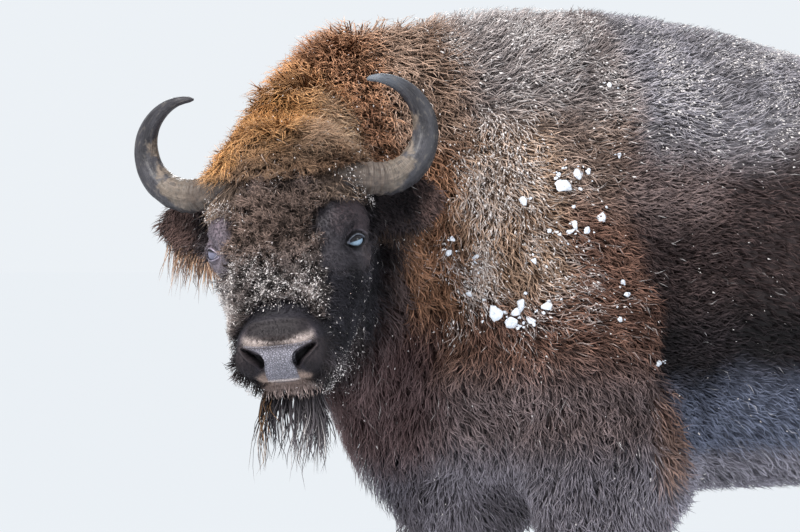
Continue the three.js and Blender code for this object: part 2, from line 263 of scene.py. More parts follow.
def set_uv(mesh, name, corner_uv):
    """A UV map from one pair of numbers for each face corner."""
    layer = mesh.uv_layers.new(name=name)
    layer.data.foreach_set("uv", np.asarray(corner_uv, np.float32).ravel())


def new_object(name, data):
    """An object in the scene."""
    made = bpy.data.objects.new(name, data)
    bpy.context.scene.collection.objects.link(made)
    return made


def new_piece(name, points, faces, material, slot, colour=None):
    """A smooth mesh object from an array of points and one of equal-sided faces, riding on the body."""
    mesh = bpy.data.meshes.new(name)
    sides = faces.shape[1]
    mesh.vertices.add(len(points))
    place_points(mesh, points)
    mesh.loops.add(faces.size)
    mesh.loops.foreach_set("vertex_index", faces.astype(np.int32).ravel())
    mesh.polygons.add(len(faces))
    mesh.polygons.foreach_set("loop_start", np.arange(0, faces.size, sides, dtype=np.int32))
    mesh.polygons.foreach_set("use_smooth", np.ones(len(faces), bool))
    mesh.update(calc_edges=True)
    mesh.validate()
    mesh.materials.append(material)
    if colour is not None:
        set_attribute(mesh, "Col", colour, "FLOAT_COLOR")
    piece = new_object(name, mesh)
    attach(piece, "root")
    return piece


def grid_faces(rows, columns):
    """Quads of a grid of rows by columns points whose columns close on themselves."""
    row, column = np.meshgrid(np.arange(rows - 1) * columns, np.arange(columns), indexing="ij")
    right, above = (column + 1) % columns, row + columns
    return np.stack([row + column, row + right, above + right, above + column], -1).reshape(-1, 4)


def welded(name, nodes):
    """Copies of solids in one mesh, their loose triangles joined."""
    joined = bmesh.new()
    for node in nodes:
        joined.from_mesh(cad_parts[node].data)
    bmesh.ops.remove_doubles(joined, verts=joined.verts, dist=1e-5)
    mesh = bpy.data.meshes.new(name)
    joined.to_mesh(mesh)
    joined.free()
    return mesh


def merged(parts):
    """Several (points, faces) as one."""
    points, faces, start = [], [], 0
    for p, f in parts:
        points.append(p)
        faces.append(f + start)
        start += len(p)
    return np.concatenate(points), np.concatenate(faces)


# ---- Where a point of the animal lies ----
NAPE = np.array([0.967, 0.075, 1.4])
NAPE_FACING = unit(np.array([0.727, 0.655, -0.208]))
KNEE_Z = float(corners("leg_front_left_lower")[1][2])
LEG_TOP_Z = float(corners("leg_front_left_upper")[1][2])
MOUTH_DOWN = 0.279
MUZZLE_MIDDLE = 0.214


class Spot:
    """Points with every coordinate that the coat is laid out by, in metres.

    x, y, z are the body's, side is the distance from its middle plane. nose, left and dorsal are the head's,
    across is left without its sign and hand its sign. ahead and down are level, from between the eyes.
    on_head is 1 past the nape and 0 before it.
    """

    def __init__(self, points):
        self.points = points
        self.x, self.y, self.z = points.T
        self.side = np.abs(self.y - MID_Y)
        self.nose, self.left, self.dorsal = to_head(points).T
        self.ahead, _, self.down = to_level(points).T
        self.across = np.abs(self.left)
        self.on_head = ramp((points - NAPE) @ NAPE_FACING, -0.015, 0.02)
        self.hand = np.where(self.left > 0, 1.0, -1.0)


def oval(x, y, middle, radii, soft=0.25):
    """1 inside an ellipse, fading to 0 over the share soft beyond its edge."""
    reach = np.hypot((x - middle[0]) / radii[0], (y - middle[1]) / radii[1])
    return ramp(reach, 1 + soft, 1)


def muzzle_reach(s):
    """Distance from the muzzle's middle, 1 at its edge: a rounded square seen from ahead."""
    wide = np.abs(s.left / 0.088) ** 2.6
    high = np.abs((s.down - MUZZLE_MIDDLE) / 0.066) ** 2.6
    return (wide + high) ** (1 / 2.6)


def muzzle_oval(s, soft=0.12):
    """1 on the short-haired muzzle."""
    return ramp(muzzle_reach(s), 1 + soft, 1) * ramp(s.ahead, 0.06, 0.1) * s.on_head


def fold_share(s):
    """Where the muzzle's edge is raised to a fold: over the top, strongest at both upper corners."""
    upper = ramp(s.down, 0.225, 0.19) * ramp(s.ahead, 0.06, 0.1) * s.on_head
    return upper * (0.55 + 0.45 * ramp(s.across, 0.02, 0.05))


def wool_border(s):
    """How far above the lower edge of the forehead's wool a point lies: the edge sags to the sides."""
    return 0.114 + 0.055 * ramp(s.across, 0.03, 0.1) - s.down


# ---- The coat's layout: zones laid over one another, from the flank outwards ----


class Zone:
    """One zone of the coat: where it lies, and what it changes there of the hair under it.

    depth, length, width and curl in metres, scatter in degrees, dark and light in sRGB, lie as a direction;
    frost, root (the root's brightness, partly painted shade deep in the coat), lump (how far the wool
    gathers, and how dark its furrows are painted as shade) and density as shares. A function gives a value
    for each point.
    """

    def __init__(self, where, dark=None, light=None, **values):
        self.where, self.values = where, values
        if dark is not None:
            values["dark"], values["light"] = linear(*dark), linear(*light)


def shoulder_edge(s):
    """1 on the shoulder's longer hair, 0 behind it: a sharp edge above the elbow that softens upwards."""
    heights = [0.84, 0.93, 1.03, 1.1, 1.22, 1.36, 1.46, 1.6]
    edge = np.interp(s.z, heights, [0.2, 0.205, 0.25, 0.265, 0.27, 0.33, 0.36, 0.3])
    soft = 0.018 + 0.05 * ramp(s.z, 1.24, 1.45)
    ragged = 0.03 * (noise(s.points, 0.045, 41) - 0.5)
    return ramp(s.x + ragged, edge - soft, edge + soft)


def along_line(s, first, last, reach):
    """1 near the side's line between two places given as (x, z), fading to 0 at reach."""
    (x, z), step = first, np.subtract(last, first)
    t = np.clip(((s.x - x) * step[0] + (s.z - z) * step[1]) / (step @ step), 0, 1)
    return ramp(np.hypot(s.x - x - t * step[0], s.z - z - t * step[1]) / reach, 1.3, 0.35)


def frosted_side(s):
    """Frost driven on to the sides: a cap on the hump, a streak down the shoulder's front, the back."""
    cap = 0.8 * along_line(s, (0.6, 1.76), (0.33, 1.78), 0.1)
    streak = 1.9 * along_line(s, (0.56, 1.62), (0.62, 1.32), 0.084)
    foot = 0.55 * along_line(s, (0.63, 1.34), (0.655, 1.2), 0.05)
    back = 0.55 * along_line(s, (0.4, 1.7), (-0.25, 1.66), 0.11)
    patch = 0.45 * along_line(s, (0.52, 1.46), (0.5, 1.22), 0.1)
    return np.maximum.reduce([cap, streak, foot, back, patch])


def parted(s):
    """The poll's wool: out to both sides from a ragged parting and down, a little forwards."""
    drift = noise(s.points, 0.05, 47) * 0.6 + noise(s.points, 0.02, 48) * 0.4 - 0.5
    out = np.clip((s.left - 0.015 + 0.14 * drift) / 0.09, -1, 1)[:, None] * LEFT
    return 0.1 * AHEAD + 0.75 * DOWN + 1.25 * out


def temple(s):
    """The wool at the horns' roots: out to the side, over the horn, and down."""
    return s.hand[:, None] * LEFT + 0.5 * DOWN + 0.3 * AHEAD


def swept(s):
    """The shoulder's hair: down in arcs above, level and backwards below, down again at its front edge."""
    level = ramp(s.z, 1.42, 1.26)
    front = ramp(s.x, 0.46, 0.6)
    back = -1.0 + 0.85 * front
    down = -0.75 + 0.6 * level - 0.65 * front
    return np.stack([back, 0 * back, down], axis=1)


def waved(s, height, seed):
    """Height above the ground with a slow wave laid over it, so that no marking ends in a straight line."""
    return s.z + height * (noise(s.points, 0.22, seed) - 0.5)


def before_thighs(s):
    """Full along the barrel, fading out with a ragged edge over the thighs."""
    return ramp(s.x + 0.24 * (noise(s.points, 0.16, 72) - 0.5), -0.95, -0.45)


ZONES = [
    # flank and barrel, with everything that a zone may change
    Zone(lambda s: np.ones(len(s.x)), (46, 35, 35), (86, 70, 68), depth=0.02, length=0.036, width=0.0064,
         curl=0.007, scatter=16, frost=0.03, root=1.0, lump=0.25, density=1.0, lie=(-1, 0, -0.35)),
    # upper flank, a paler brown
    Zone(lambda s: ramp(waved(s, 0.1, 67) - 0.1 * ramp(s.x, 0.16, 0.04), 1.34, 1.5), (88, 74, 72),
         (142, 124, 121), frost=0.05),
    # the saddle of the back, grey with frost
    Zone(lambda s: ramp(waved(s, 0.08, 68), 1.49, 1.63), (108, 104, 108), (172, 167, 174), depth=0.022,
         lie=(-1, 0, -0.3), frost=0.3),
    # rump and thighs
    Zone(lambda s: ramp(s.x, -0.4, -0.75), (58, 46, 43), (112, 93, 86), depth=0.018, length=0.04, frost=0.08,
         lie=(-0.7, 0, -0.8)),
    # low flank, nearly black
    Zone(lambda s: ramp(waved(s, 0.09, 69), 1.32, 1.17) * before_thighs(s), (19, 16, 18), (46, 39, 42),
         depth=0.022, frost=0.02, lie=(-1, 0, -0.3)),
    # belly, slate, with a paler hem
    Zone(lambda s: ramp(waved(s, 0.05, 71) + 0.04 * (noise(s.points, 0.05, 66) - 0.5), 1.12, 1.02)
         * before_thighs(s), (78, 82, 97), (120, 126, 146), length=0.036, lump=0.1, lie=(-0.9, 0, -0.5)),
    Zone(lambda s: ramp(s.z, 0.93, 0.89) * before_thighs(s), (106, 103, 112), (168, 163, 174), depth=0.028,
         length=0.055, lump=0.2, lie=(-0.9, 0, -0.5)),
    # the tail's upper part
    Zone(lambda s: ramp(s.x, -1.2, -1.225), depth=0.009, length=0.03, lie=(0.05, 0, -1)),
    # shoulders: red brown
    Zone(shoulder_edge, (66, 45, 38), (142, 107, 92), depth=0.034, length=0.048, width=0.0058, curl=0.01,
         scatter=20, frost=0.08, root=1.0, lump=0.35, lie=swept),
    # upper shoulders, grey brown, and the hump's top, grey
    Zone(lambda s: shoulder_edge(s) * ramp(s.z, 1.38, 1.5), (108, 89, 80), (178, 155, 142), depth=0.036),
    # a golden field below the streak of frost
    Zone(lambda s: 0.8 * band(s.x, 0.5, 0.66, 0.05) * band(s.z, 1.3, 1.58, 0.1), (118, 90, 70),
         (202, 172, 148)),
    Zone(lambda s: ramp(s.x, 0.22, 0.34) * ramp(s.z, 1.56, 1.68), (116, 106, 105), (186, 176, 174),
         depth=0.038, length=0.048, lie=(-1, 0, -0.5)),
    # neck: its crest, brown grey, then orange brown towards the poll
    Zone(lambda s: ramp(s.x, 0.62, 0.7) * ramp(s.z, 1.02, 1.2), (82, 58, 46), (166, 128, 102), depth=0.048,
         length=0.056, width=0.0056, curl=0.013, scatter=24, frost=0.06, root=1.0, lump=0.6,
         lie=(-0.25, 0, -1)),
    Zone(lambda s: ramp(s.x, 0.56, 0.7) * ramp(s.z, 1.5, 1.62), (116, 92, 78), (184, 156, 138), depth=0.055,
         length=0.062, curl=0.015, lie=(-0.1, 0, -1)),
    Zone(lambda s: ramp(s.x, 0.78, 0.9) * ramp(s.z, 1.46, 1.56), (126, 88, 68), (206, 164, 138), depth=0.055,
         length=0.06, curl=0.012, lie=(0.45, -0.25, -1)),
    Zone(lambda s: ramp(s.x, 0.78, 0.86) * ramp(s.z, 1.42, 1.5), (122, 80, 56), (226, 174, 138), length=0.034,
         width=0.0044, curl=0.01, scatter=46, lump=0.8, root=0.8),
    Zone(lambda s: ramp(s.x, 0.8, 0.88) * band(s.z, 1.4, 1.6, 0.05), (98, 65, 48), (206, 154, 122)),
    Zone(lambda s: ramp(s.x, 0.9, 1.02) * ramp(s.z, 1.52, 1.64), (150, 100, 62), (226, 172, 120),
         length=0.046, scatter=30),
    # the neck beside the head, and painted shade behind the ear: the neck's hair darkened where the head
    # shades it
    Zone(lambda s: ramp(s.x, 0.65, 0.72) * ramp(s.z, 1.6, 1.52) * (s.z > 1.0), (90, 61, 45), (172, 128, 100)),
    Zone(lambda s: ramp(s.x, 0.79, 0.84) * ramp(s.z, 1.5, 1.42), (32, 26, 28), (72, 60, 59), root=0.7,
         lump=0.2),
    Zone(lambda s: ramp(s.x, 0.76, 0.82) * ramp(s.z, 1.34, 1.27), (48, 38, 38), (92, 76, 74), root=0.8),
    # lower shoulder and upper foreleg
    Zone(lambda s: shoulder_edge(s) * ramp(s.z, 1.15, 1.04), (80, 67, 66), (134, 118, 118), depth=0.032,
         frost=0.03, lie=(-0.6, 0, -1)),
    Zone(lambda s: shoulder_edge(s) * ramp(s.z, 0.98, 0.88), (100, 94, 100), (140, 134, 142), depth=0.03,
         curl=0.005, lump=0.15, lie=(-0.3, 0, -1)),
    # the elbow's fringe, rusty
    Zone(lambda s: 0.85 * shoulder_edge(s) * along_line(s, (0.245, 1.02), (0.215, 0.88), 0.035)
         * (s.side > 0.1), (92, 68, 60), (162, 130, 114), depth=0.034, length=0.07, lie=(-0.9, 0, -0.6)),
    # chest and throat
    Zone(lambda s: ramp(s.x, 0.64, 0.74) * ramp(s.z, 1.26, 1.14), (74, 55, 55), (112, 92, 92), depth=0.045,
         length=0.055, width=0.0052, curl=0.007, scatter=16, frost=0.03, lump=0.15, root=1.0,
         lie=(-0.1, 0, -1)),
    Zone(lambda s: ramp(s.x, 0.6, 0.72) * ramp(s.z, 0.96, 0.86), (72, 67, 73), (104, 100, 108)),
    # legs
    Zone(lambda s: ramp(s.z, LEG_TOP_Z - 0.02, LEG_TOP_Z - 0.14), (58, 48, 45), (104, 88, 82), depth=0.016,
         length=0.034, width=0.0068, curl=0.003, scatter=12, frost=0.04, lump=0.15, lie=(-0.15, 0, -1)),
    Zone(lambda s: ramp(s.z, KNEE_Z + 0.12, KNEE_Z - 0.02), (54, 44, 40), (96, 82, 75), depth=0.006,
         length=0.018, width=0.005, curl=0.001, scatter=9, lump=0.05, lie=(-0.1, 0, -1)),
    # frost on both sides
    Zone(lambda s: np.minimum(frosted_side(s), 1) * (1 - s.on_head), frost=1.35),
    # the head's sides, black with frosted tips
    Zone(lambda s: s.on_head, (28, 24, 27), (92, 83, 85), depth=0.022, length=0.024, width=0.0036,
         curl=0.009, scatter=50, frost=0.35, root=0.6, lump=0.7, lie=(-0.05, 0, -1)),
    # dark and smooth behind the eyes and below them
    Zone(lambda s: s.on_head * ramp(s.left, 0.085, 0.12) * ramp(s.down, -0.1, -0.06)
         * ramp(s.down, 0.25, 0.19), (26, 24, 28), (74, 69, 73), frost=0.0, scatter=16, curl=0.005),
    # brown wool of the forehead, whiter towards the nose
    Zone(lambda s: s.on_head * on_brow(s), (28, 21, 19), (150, 128, 118), depth=0.03, length=0.016,
         width=0.0031, curl=0.009, scatter=80, frost=0.1, root=0.35, lump=1.0, lie=(0.1, 0, -1)),
    Zone(lambda s: s.on_head * on_brow(s) * ramp(s.down, -0.02, 0.08), (30, 26, 28), (146, 134, 131),
         depth=0.026, length=0.015, frost=lambda s: 0.48 + 0.34 * ramp(s.left, 0.03, -0.05)),
    # the left cheek, black and short from the wool's side edge on
    Zone(lambda s: s.on_head * dark_cheek(s), (18, 17, 21), (62, 60, 67), depth=0.011, length=0.015,
         width=0.0028, curl=0.004, scatter=30, frost=0.02, root=0.7, lump=0.4, lie=(-0.3, 0, -1)),
    # the right cheek, long and grey, which widens the head below the eye
    Zone(lambda s: s.on_head * (s.hand < 0) * band(s.down, 0.075, 0.16, 0.03) * ramp(s.across, 0.1, 0.13),
         (42, 37, 39), (126, 118, 122), depth=0.036, length=0.04, scatter=30, curl=0.01, root=0.5, lump=0.8,
         frost=0.6, lie=temple),
    # frost on the brow over the right eye, and down the right cheek
    Zone(lambda s: s.on_head * oval(s.left, s.down, (-0.112, -0.095), (0.022, 0.026), 0.5), frost=0.8),
    Zone(lambda s: s.on_head * oval(s.left, s.down, (-0.1, 0.13), (0.028, 0.07), 0.5), frost=0.85),
    # wool at the roots of the horns
    Zone(lambda s: s.on_head * oval(s.across, s.down, (0.122, -0.13), (0.042, 0.044), 0.4), (50, 39, 34),
         (152, 130, 114), depth=0.026, length=lambda s: np.where(s.hand < 0, 0.06, 0.036), width=0.0042,
         curl=0.012, scatter=22, lie=temple),
    # wool of the poll, which hangs over the forehead: golden above, brown below
    Zone(lambda s: s.on_head * ramp(s.down, -0.125, -0.16), (78, 57, 44), (168, 136, 110), depth=0.036,
         length=0.03, width=0.0035, curl=0.011, scatter=42, frost=0.03, root=0.6, lump=0.8),
    Zone(lambda s: s.on_head * ramp(s.down, -0.18, -0.215), (118, 84, 58), (190, 148, 108), depth=0.028,
         length=0.055, width=0.0038, curl=0.018, scatter=30, root=0.8, lump=0.8, lie=parted),
    Zone(lambda s: s.on_head * ramp(s.down - 0.075 * ramp(-s.left, 0.035, 0.12), -0.212, -0.25),
         (156, 106, 62), (232, 178, 120), length=0.062, root=0.9, lump=0.6),
    Zone(lambda s: 0.9 * s.on_head * ramp(s.down, -0.165, -0.2) * ramp(s.left, 0.0, 0.05), (150, 120, 98),
         (228, 198, 168)),
    # short hair round the eyes and above the muzzle
    Zone(lambda s: s.on_head * eye_patch(s), (58, 53, 57), (110, 103, 109), depth=0.003, length=0.008,
         width=0.0018, curl=0.0006, scatter=16, frost=0.0, root=0.9, lump=0, density=0.55, lie=(-0.4, 0, -1)),
    # the short hair round the eyes: darker on the left and lighter on the right, in part painted shade and
    # light on the face's two sides
    Zone(lambda s: s.on_head * eye_patch(s) * (s.hand > 0), (34, 31, 35), (76, 72, 78)),
    Zone(lambda s: s.on_head * eye_patch(s) * (s.hand < 0), (70, 64, 70), (136, 127, 136)),
    Zone(lambda s: s.on_head * bridge_patch(s), (17, 15, 21), (54, 52, 60), depth=0.007, length=0.013,
         width=0.0026, curl=0.003, scatter=26, frost=0.1, root=0.7, lump=0.4, lie=(-0.3, 0, 0.6)),
    # the muzzle: dark and short, black under the fold, brown, then a cream band of hair over the nose pad
    Zone(muzzle_oval, (18, 17, 21), (56, 52, 60), depth=0.0022, length=0.0075, width=0.0018, curl=0.0008,
         scatter=26, frost=0.0, root=0.9, lump=0.15, density=1.5, lie=(-0.2, 0, -1)),
    Zone(lambda s: muzzle_oval(s) * band(s.down, 0.16, 0.176, 0.008) * ramp(s.across, 0.07, 0.045),
         (17, 16, 20), (50, 47, 54)),
    Zone(lambda s: muzzle_oval(s) * band(s.down, 0.184, 0.2, 0.008) * ramp(s.across, 0.072, 0.052),
         (50, 42, 42), (108, 94, 91), depth=0.0035, length=0.011, density=2.2),
    Zone(lambda s: muzzle_oval(s) * cream_band(s), (162, 145, 137), (240, 224, 215), depth=0.003,
         length=0.009, density=2.0),
    Zone(lambda s: muzzle_oval(s) * tan_corner(s), (120, 100, 92), (200, 178, 164), depth=0.0025),
    # chin and lips
    Zone(lambda s: s.on_head * oval(s.left, s.down, (0.005, 0.305), (0.058, 0.034))
         * ramp(s.ahead, 0.0, 0.05), (94, 77, 71), (202, 182, 176), depth=0.01, length=0.026, width=0.0028,
         curl=0.002, scatter=11, frost=0.04, root=0.75, lump=0.1, lie=(-0.1, 0, -1)),
]


def on_brow(s):
    """The forehead's wool."""
    return ramp(wool_border(s), -0.008, 0.012) * ramp(s.ahead, 0.02, 0.05)


def tan_corner(s):
    """The tan patches beside the foot of the nose pad, drawn out along the lip."""
    wedge = 0.003 + 0.007 * ramp(s.across, 0.062, 0.034)
    return bell(s.down + 0.08 * (s.across - 0.035), 0.271, wedge) * band(s.across, 0.034, 0.052, 0.012)


def cream_band(s):
    """The pale band of hair on the nose pad's upper edge, thick at its ends and thin in the middle."""
    middle = 0.1995 - 0.01 * (s.across / 0.07) ** 2
    thick = 0.0032 + 0.004 * ramp(s.across, 0.012, 0.05)
    sides = 0.45 + 0.55 * ramp(s.across, 0.006, 0.034)
    return bell(s.down, middle, thick) * sides * ramp(s.across, 0.078, 0.064)


def eye_patch(s):
    """Bare brow above the eye and short dark hair round and below it."""
    ragged = 0.45 * (noise(s.points, 0.014, 61) - 0.5) + 0.35 * (noise(s.points, 0.005, 62) - 0.5)
    middle, wide = np.where(s.hand > 0, 0.127, 0.141), np.where(s.hand > 0, 0.043, 0.031)
    reach = np.abs(s.across - middle) / wide
    brow = ramp(np.hypot(reach, (s.down + 0.036) / 0.044) + ragged, 1.15, 0.95)
    below = ramp(np.hypot(reach, (s.down - 0.026) / 0.036) + ragged, 1.15, 0.95)
    return np.maximum(brow, below) * ramp(s.ahead, -0.09, -0.05)


def dark_cheek(s):
    """The left cheek and the side of the nose, beyond a ragged line where the wool ends."""
    ragged = 0.02 * (noise(s.points, 0.014, 63) - 0.5)
    return ramp(s.left + ragged, 0.082, 0.095) * ramp(s.down, -0.005, 0.025) * ramp(s.down, 0.27, 0.21)


def bridge_patch(s):
    """Short black hair between the wool's lower edge and the muzzle."""
    bridge = ramp(wool_border(s), 0.002, -0.012) * ramp(s.across, 0.105, 0.085)
    return bridge * ramp(s.down, 0.24, 0.2) * ramp(s.ahead, 0.06, 0.1)


def coat_at(points):
    """The coat's sizes, colours and lie at each point: zone over zone, each by its share."""
    s = Spot(points)
    coat = {}
    for zone in ZONES:
        share = zone.where(s)
        for key, value in zone.values.items():
            value = value(s) if callable(value) else np.asarray(value, float)
            w = share[:, None] if key in ("dark", "light", "lie") else share
            coat[key] = coat.get(key, 0) * (1 - w) + w * value
    coat["spot"] = s
    return coat


# ---- Eyes: where they sit and how they look out ----
# ahead, outwards and down from the solids' eyes
EYE_SHIFT = {1: np.array([0.015, -0.01, 0.006]), -1: np.array([0.015, -0.004, 0.006])}
EYE_FACING = unit(np.array([0.74, 0.66, 0.02]))
LID_TILT = math.radians(15)
LID_REACH = 0.019  # half the opening's width
LID_RISE, LID_FALL = 0.0105, 0.011


def eye_frame(hand):
    """Centre of the left (1) or right (-1) eye, and its axes as columns: to the outer corner, up and out."""
    ahead, left, down = to_level(EYES[hand])
    shift = EYE_SHIFT[hand]
    centre = from_level([ahead + shift[0], left + hand * shift[1], down + shift[2]])
    out = EYE_FACING * [1, hand, 1]
    flat = unit(np.cross(out, [0, 0, 1.0]) * hand)
    flat = flat if flat[1] * hand > 0 else -flat
    rise = unit(np.cross(out, flat))
    rise = rise if rise[2] < 0 else -rise
    c, s = math.cos(LID_TILT), math.sin(LID_TILT)
    outer, up = c * flat + s * rise, c * rise - s * flat
    return centre, from_level(np.stack([outer, up, out])).T - from_level(np.zeros(3))[:, None]


def seen_by_eye(points, hand):
    """Points in an eye's own axes, their distance from its opening's edge, and whether they lie around it."""
    centre, axes = eye_frame(hand)
    local = (points - centre) @ axes
    near = (local[:, 2] > -0.02) & (local[:, 2] < 0.05) & (np.hypot(local[:, 0], local[:, 1]) < 0.04)
    return local, lid_distance(local[:, 0], local[:, 1]), near


# ---- Skin ----
VOXEL = 0.018
FLESH_GROW = 0.0012  # closes the partings between the solids


def flesh_surface():
    """The flesh solids joined and remeshed into one closed surface of quads: points and faces."""
    mesh = welded("flesh", FLESH)
    points, normals = mesh_arrays(mesh)
    place_points(mesh, points + FLESH_GROW * normals)
    flesh = new_object("flesh", mesh)
    remesh = flesh.modifiers.new("one_surface", "REMESH")
    remesh.mode = "VOXEL"
    remesh.voxel_size = VOXEL
    whole = bpy.data.meshes.new_from_object(flesh.evaluated_get(bpy.context.evaluated_depsgraph_get()))
    bpy.data.objects.remove(flesh)
    return mesh_arrays(whole)[0], mesh_faces(whole, 4)


def largest_body(points, faces):
    """Only the connected body with the most points: labels spread along the faces until they settle."""
    label = np.arange(len(points))
    while True:
        lowest = label[faces].min(axis=1)
        spread = label.copy()
        np.minimum.at(spread, faces.ravel(), np.repeat(lowest, faces.shape[1]))
        spread = spread[spread]
        if np.array_equal(spread, label):
            break
        label = spread
    keep = label == np.bincount(label).argmax()
    number = np.cumsum(keep) - 1
    return points[keep], number[faces[keep[faces[:, 0]]]]


def edges_of(faces):
    """Each pair of neighbouring corners of the faces, once."""
    pairs = np.stack([faces, np.roll(faces, -1, axis=1)], -1).reshape(-1, 2)
    return np.unique(np.sort(pairs, axis=1), axis=0)


def relaxed(points, edges, share, rounds, keep_size=True):
    """Rounds of moving each point by its share towards the mean of its neighbours.

    To keep the size, every second round moves slightly further the other way, which only smooths.
    """
    count = np.bincount(edges.ravel(), minlength=len(points))[:, None]
    for turn_number in range(rounds):
        total = summed(edges[:, 0], points[edges[:, 1]], len(points))
        total += summed(edges[:, 1], points[edges[:, 0]], len(points))
        way = -1.04 if keep_size and turn_number % 2 else 1.0
        points = points + way * share[:, None] * (total / count - points)
    return points


def point_normals(points, faces):
    """Unit sums of the faces' own normals, each from its two diagonals."""
    sides = faces.shape[1]
    a, b, c, d = (points[faces[:, corner]] for corner in ((0, 2, 1, 3) if sides == 4 else (0, 1, 0, 2)))
    return unit(summed(faces.ravel(), np.repeat(np.cross(b - a, d - c), sides, axis=0), len(points)))


def finer(mesh, wanted):
    """Splits the faces whose centres wanted(points) accepts into four."""
    chosen = wanted(read(mesh.polygons, "center", 3).astype(float))
    work = bmesh.new()
    work.from_mesh(mesh)
    work.faces.ensure_lookup_table()
    edges = {edge for index in np.flatnonzero(chosen) for edge in work.faces[index].edges}
    bmesh.ops.subdivide_edges(work, edges=list(edges), cuts=1, use_grid_fill=True)
    work.to_mesh(mesh)
    work.free()


def near_face(points):
    """The head from the forehead to the chin."""
    s = Spot(points)
    return (s.on_head > 0.5) & (s.ahead > -0.05)


def near_features(points):
    """The muzzle, mouth and eyes."""
    s = Spot(points)
    muzzle = (s.on_head > 0.5) & (s.down > 0.13) & (s.down < 0.36) & (s.ahead > 0.02)
    return muzzle | near_eye(points, 0.046)


def near_eye(points, reach):
    """Within reach of either eye's centre, on the head's outside."""
    found = np.zeros(len(points), bool)
    for hand in EYES:
        centre, axes = eye_frame(hand)
        local = (points - centre) @ axes
        found |= (np.linalg.norm(local[:, :2], axis=1) < reach) & (local[:, 2] > -0.03) & (local[:, 2] < 0.06)
    return found


def near_lids_and_nostrils(points):
    """The finest regions: the lids and the front of the muzzle."""
    s = Spot(points)
    front = (s.on_head > 0.5) & (s.down > 0.19) & (s.down < 0.295) & (s.across < 0.085) & (s.ahead > 0.1)
    return front | near_eye(points, 0.03)


# ---- Sculpting the face ----


def lid_distance(x, y):
    """Distance from the eye's almond opening, negative inside: a rounded diamond."""
    high = np.where(y > 0, LID_RISE, LID_FALL)
    scale = ((np.abs(x) / LID_REACH) ** 1.55 + (np.abs(y) / high) ** 1.55) ** (1 / 1.55)
    return np.hypot(x, y) * (1 - 1 / np.maximum(scale, 1e-3))


def sculpt_eye(points, hand):
    """Lids over the eyeball. Seen along the eye's axis, the skin sinks behind the eyeball inside the opening.

    Around it the skin follows a sphere outside the eyeball, with a crease above and two fine folds below.
    """
    centre, axes = eye_frame(hand)
    local = (points - centre) @ axes
    x, y, z = local.T
    d = lid_distance(x, y)
    r = np.hypot(x, y)
    ball = np.sqrt(np.maximum(EYE_RADIUS**2 - r**2, 0))
    shell = np.sqrt(np.maximum((EYE_RADIUS + 0.0026) ** 2 - np.minimum(r, EYE_RADIUS * 0.97) ** 2, 0))
    slope = np.maximum(r - EYE_RADIUS * 0.97, 0)
    lid = shell - 0.1 * slope
    lid = lid + 0.0011 * bell(d, 0.0016, 0.0014)
    upper = ramp(y, -0.002, 0.004)
    lid = lid - 0.0022 * upper * bell(d, 0.0072, 0.0016) + 0.0035 * upper * bell(d, 0.0135, 0.0045)
    for fold in (0.0062, 0.0105):
        lid = lid - 0.0011 * (1 - upper) * bell(d, fold, 0.0011)
    inside = ramp(d, 0.0006, -0.0009)
    height = lid * (1 - inside) + (ball - 0.006) * inside
    share = ramp(d, 0.034, 0.01) * ((z > -0.035) & (z < 0.075))
    return points + (share * (height - z))[:, None] * axes[:, 2]


PAD_TOP, PAD_FOOT = 0.206, 0.2765


def pad_width(down):
    """Half the nose pad's width: wide over the nostrils, narrow between them and wider at the lip."""
    above = 0.03 + 0.036 * np.clip((0.231 - down) / 0.026, 0, 1.05) ** 2.2
    below = 0.03 + 0.003 * ramp(down, 0.231, 0.272)
    return np.where(down < 0.231, above, below)


def pad_mask(s, soft=0.0022):
    """1 on the bare nose pad."""
    top = PAD_TOP - 0.004 * (s.across / 0.06) ** 2
    inside = np.minimum(np.minimum(pad_width(s.down) - s.across, s.down - top), PAD_FOOT - s.down)
    return ramp(inside, -soft, soft) * ramp(s.ahead, 0.08, 0.11) * s.on_head


def nostril_mask(s, grow=0.0):
    """1 in the nostril: a teardrop, round beside the pad's waist, narrowing up and out under its wing."""
    t = np.clip((s.across - 0.042) / 0.032, 0, 1)
    middle = 0.235 - 0.026 * t**0.85
    thick = 0.0026 + 0.011 * (1 - t) ** 0.9 + grow
    beyond = np.maximum(0.042 - s.across, 0) + np.maximum(s.across - 0.072, 0)
    reach = np.hypot(s.down - middle, beyond * 1.1) / thick
    return ramp(reach, 1.12, 0.82) * ramp(s.ahead, 0.08, 0.11) * s.on_head


def mouth_distance(s):
    """Distance below the line of the mouth: level at the front, then back along the jaw."""
    back = np.maximum(0.312 - s.nose, 0)
    line = MOUTH_DOWN - 0.004 * bell(s.across, 0, 0.012) + 0.006 * ramp(s.across, 0.03, 0.07)
    side_line = -0.026 - 0.3 * back
    front = ramp(s.nose, 0.285, 0.308)
    return front * (s.down - line) + (1 - front) * (side_line - s.dorsal)


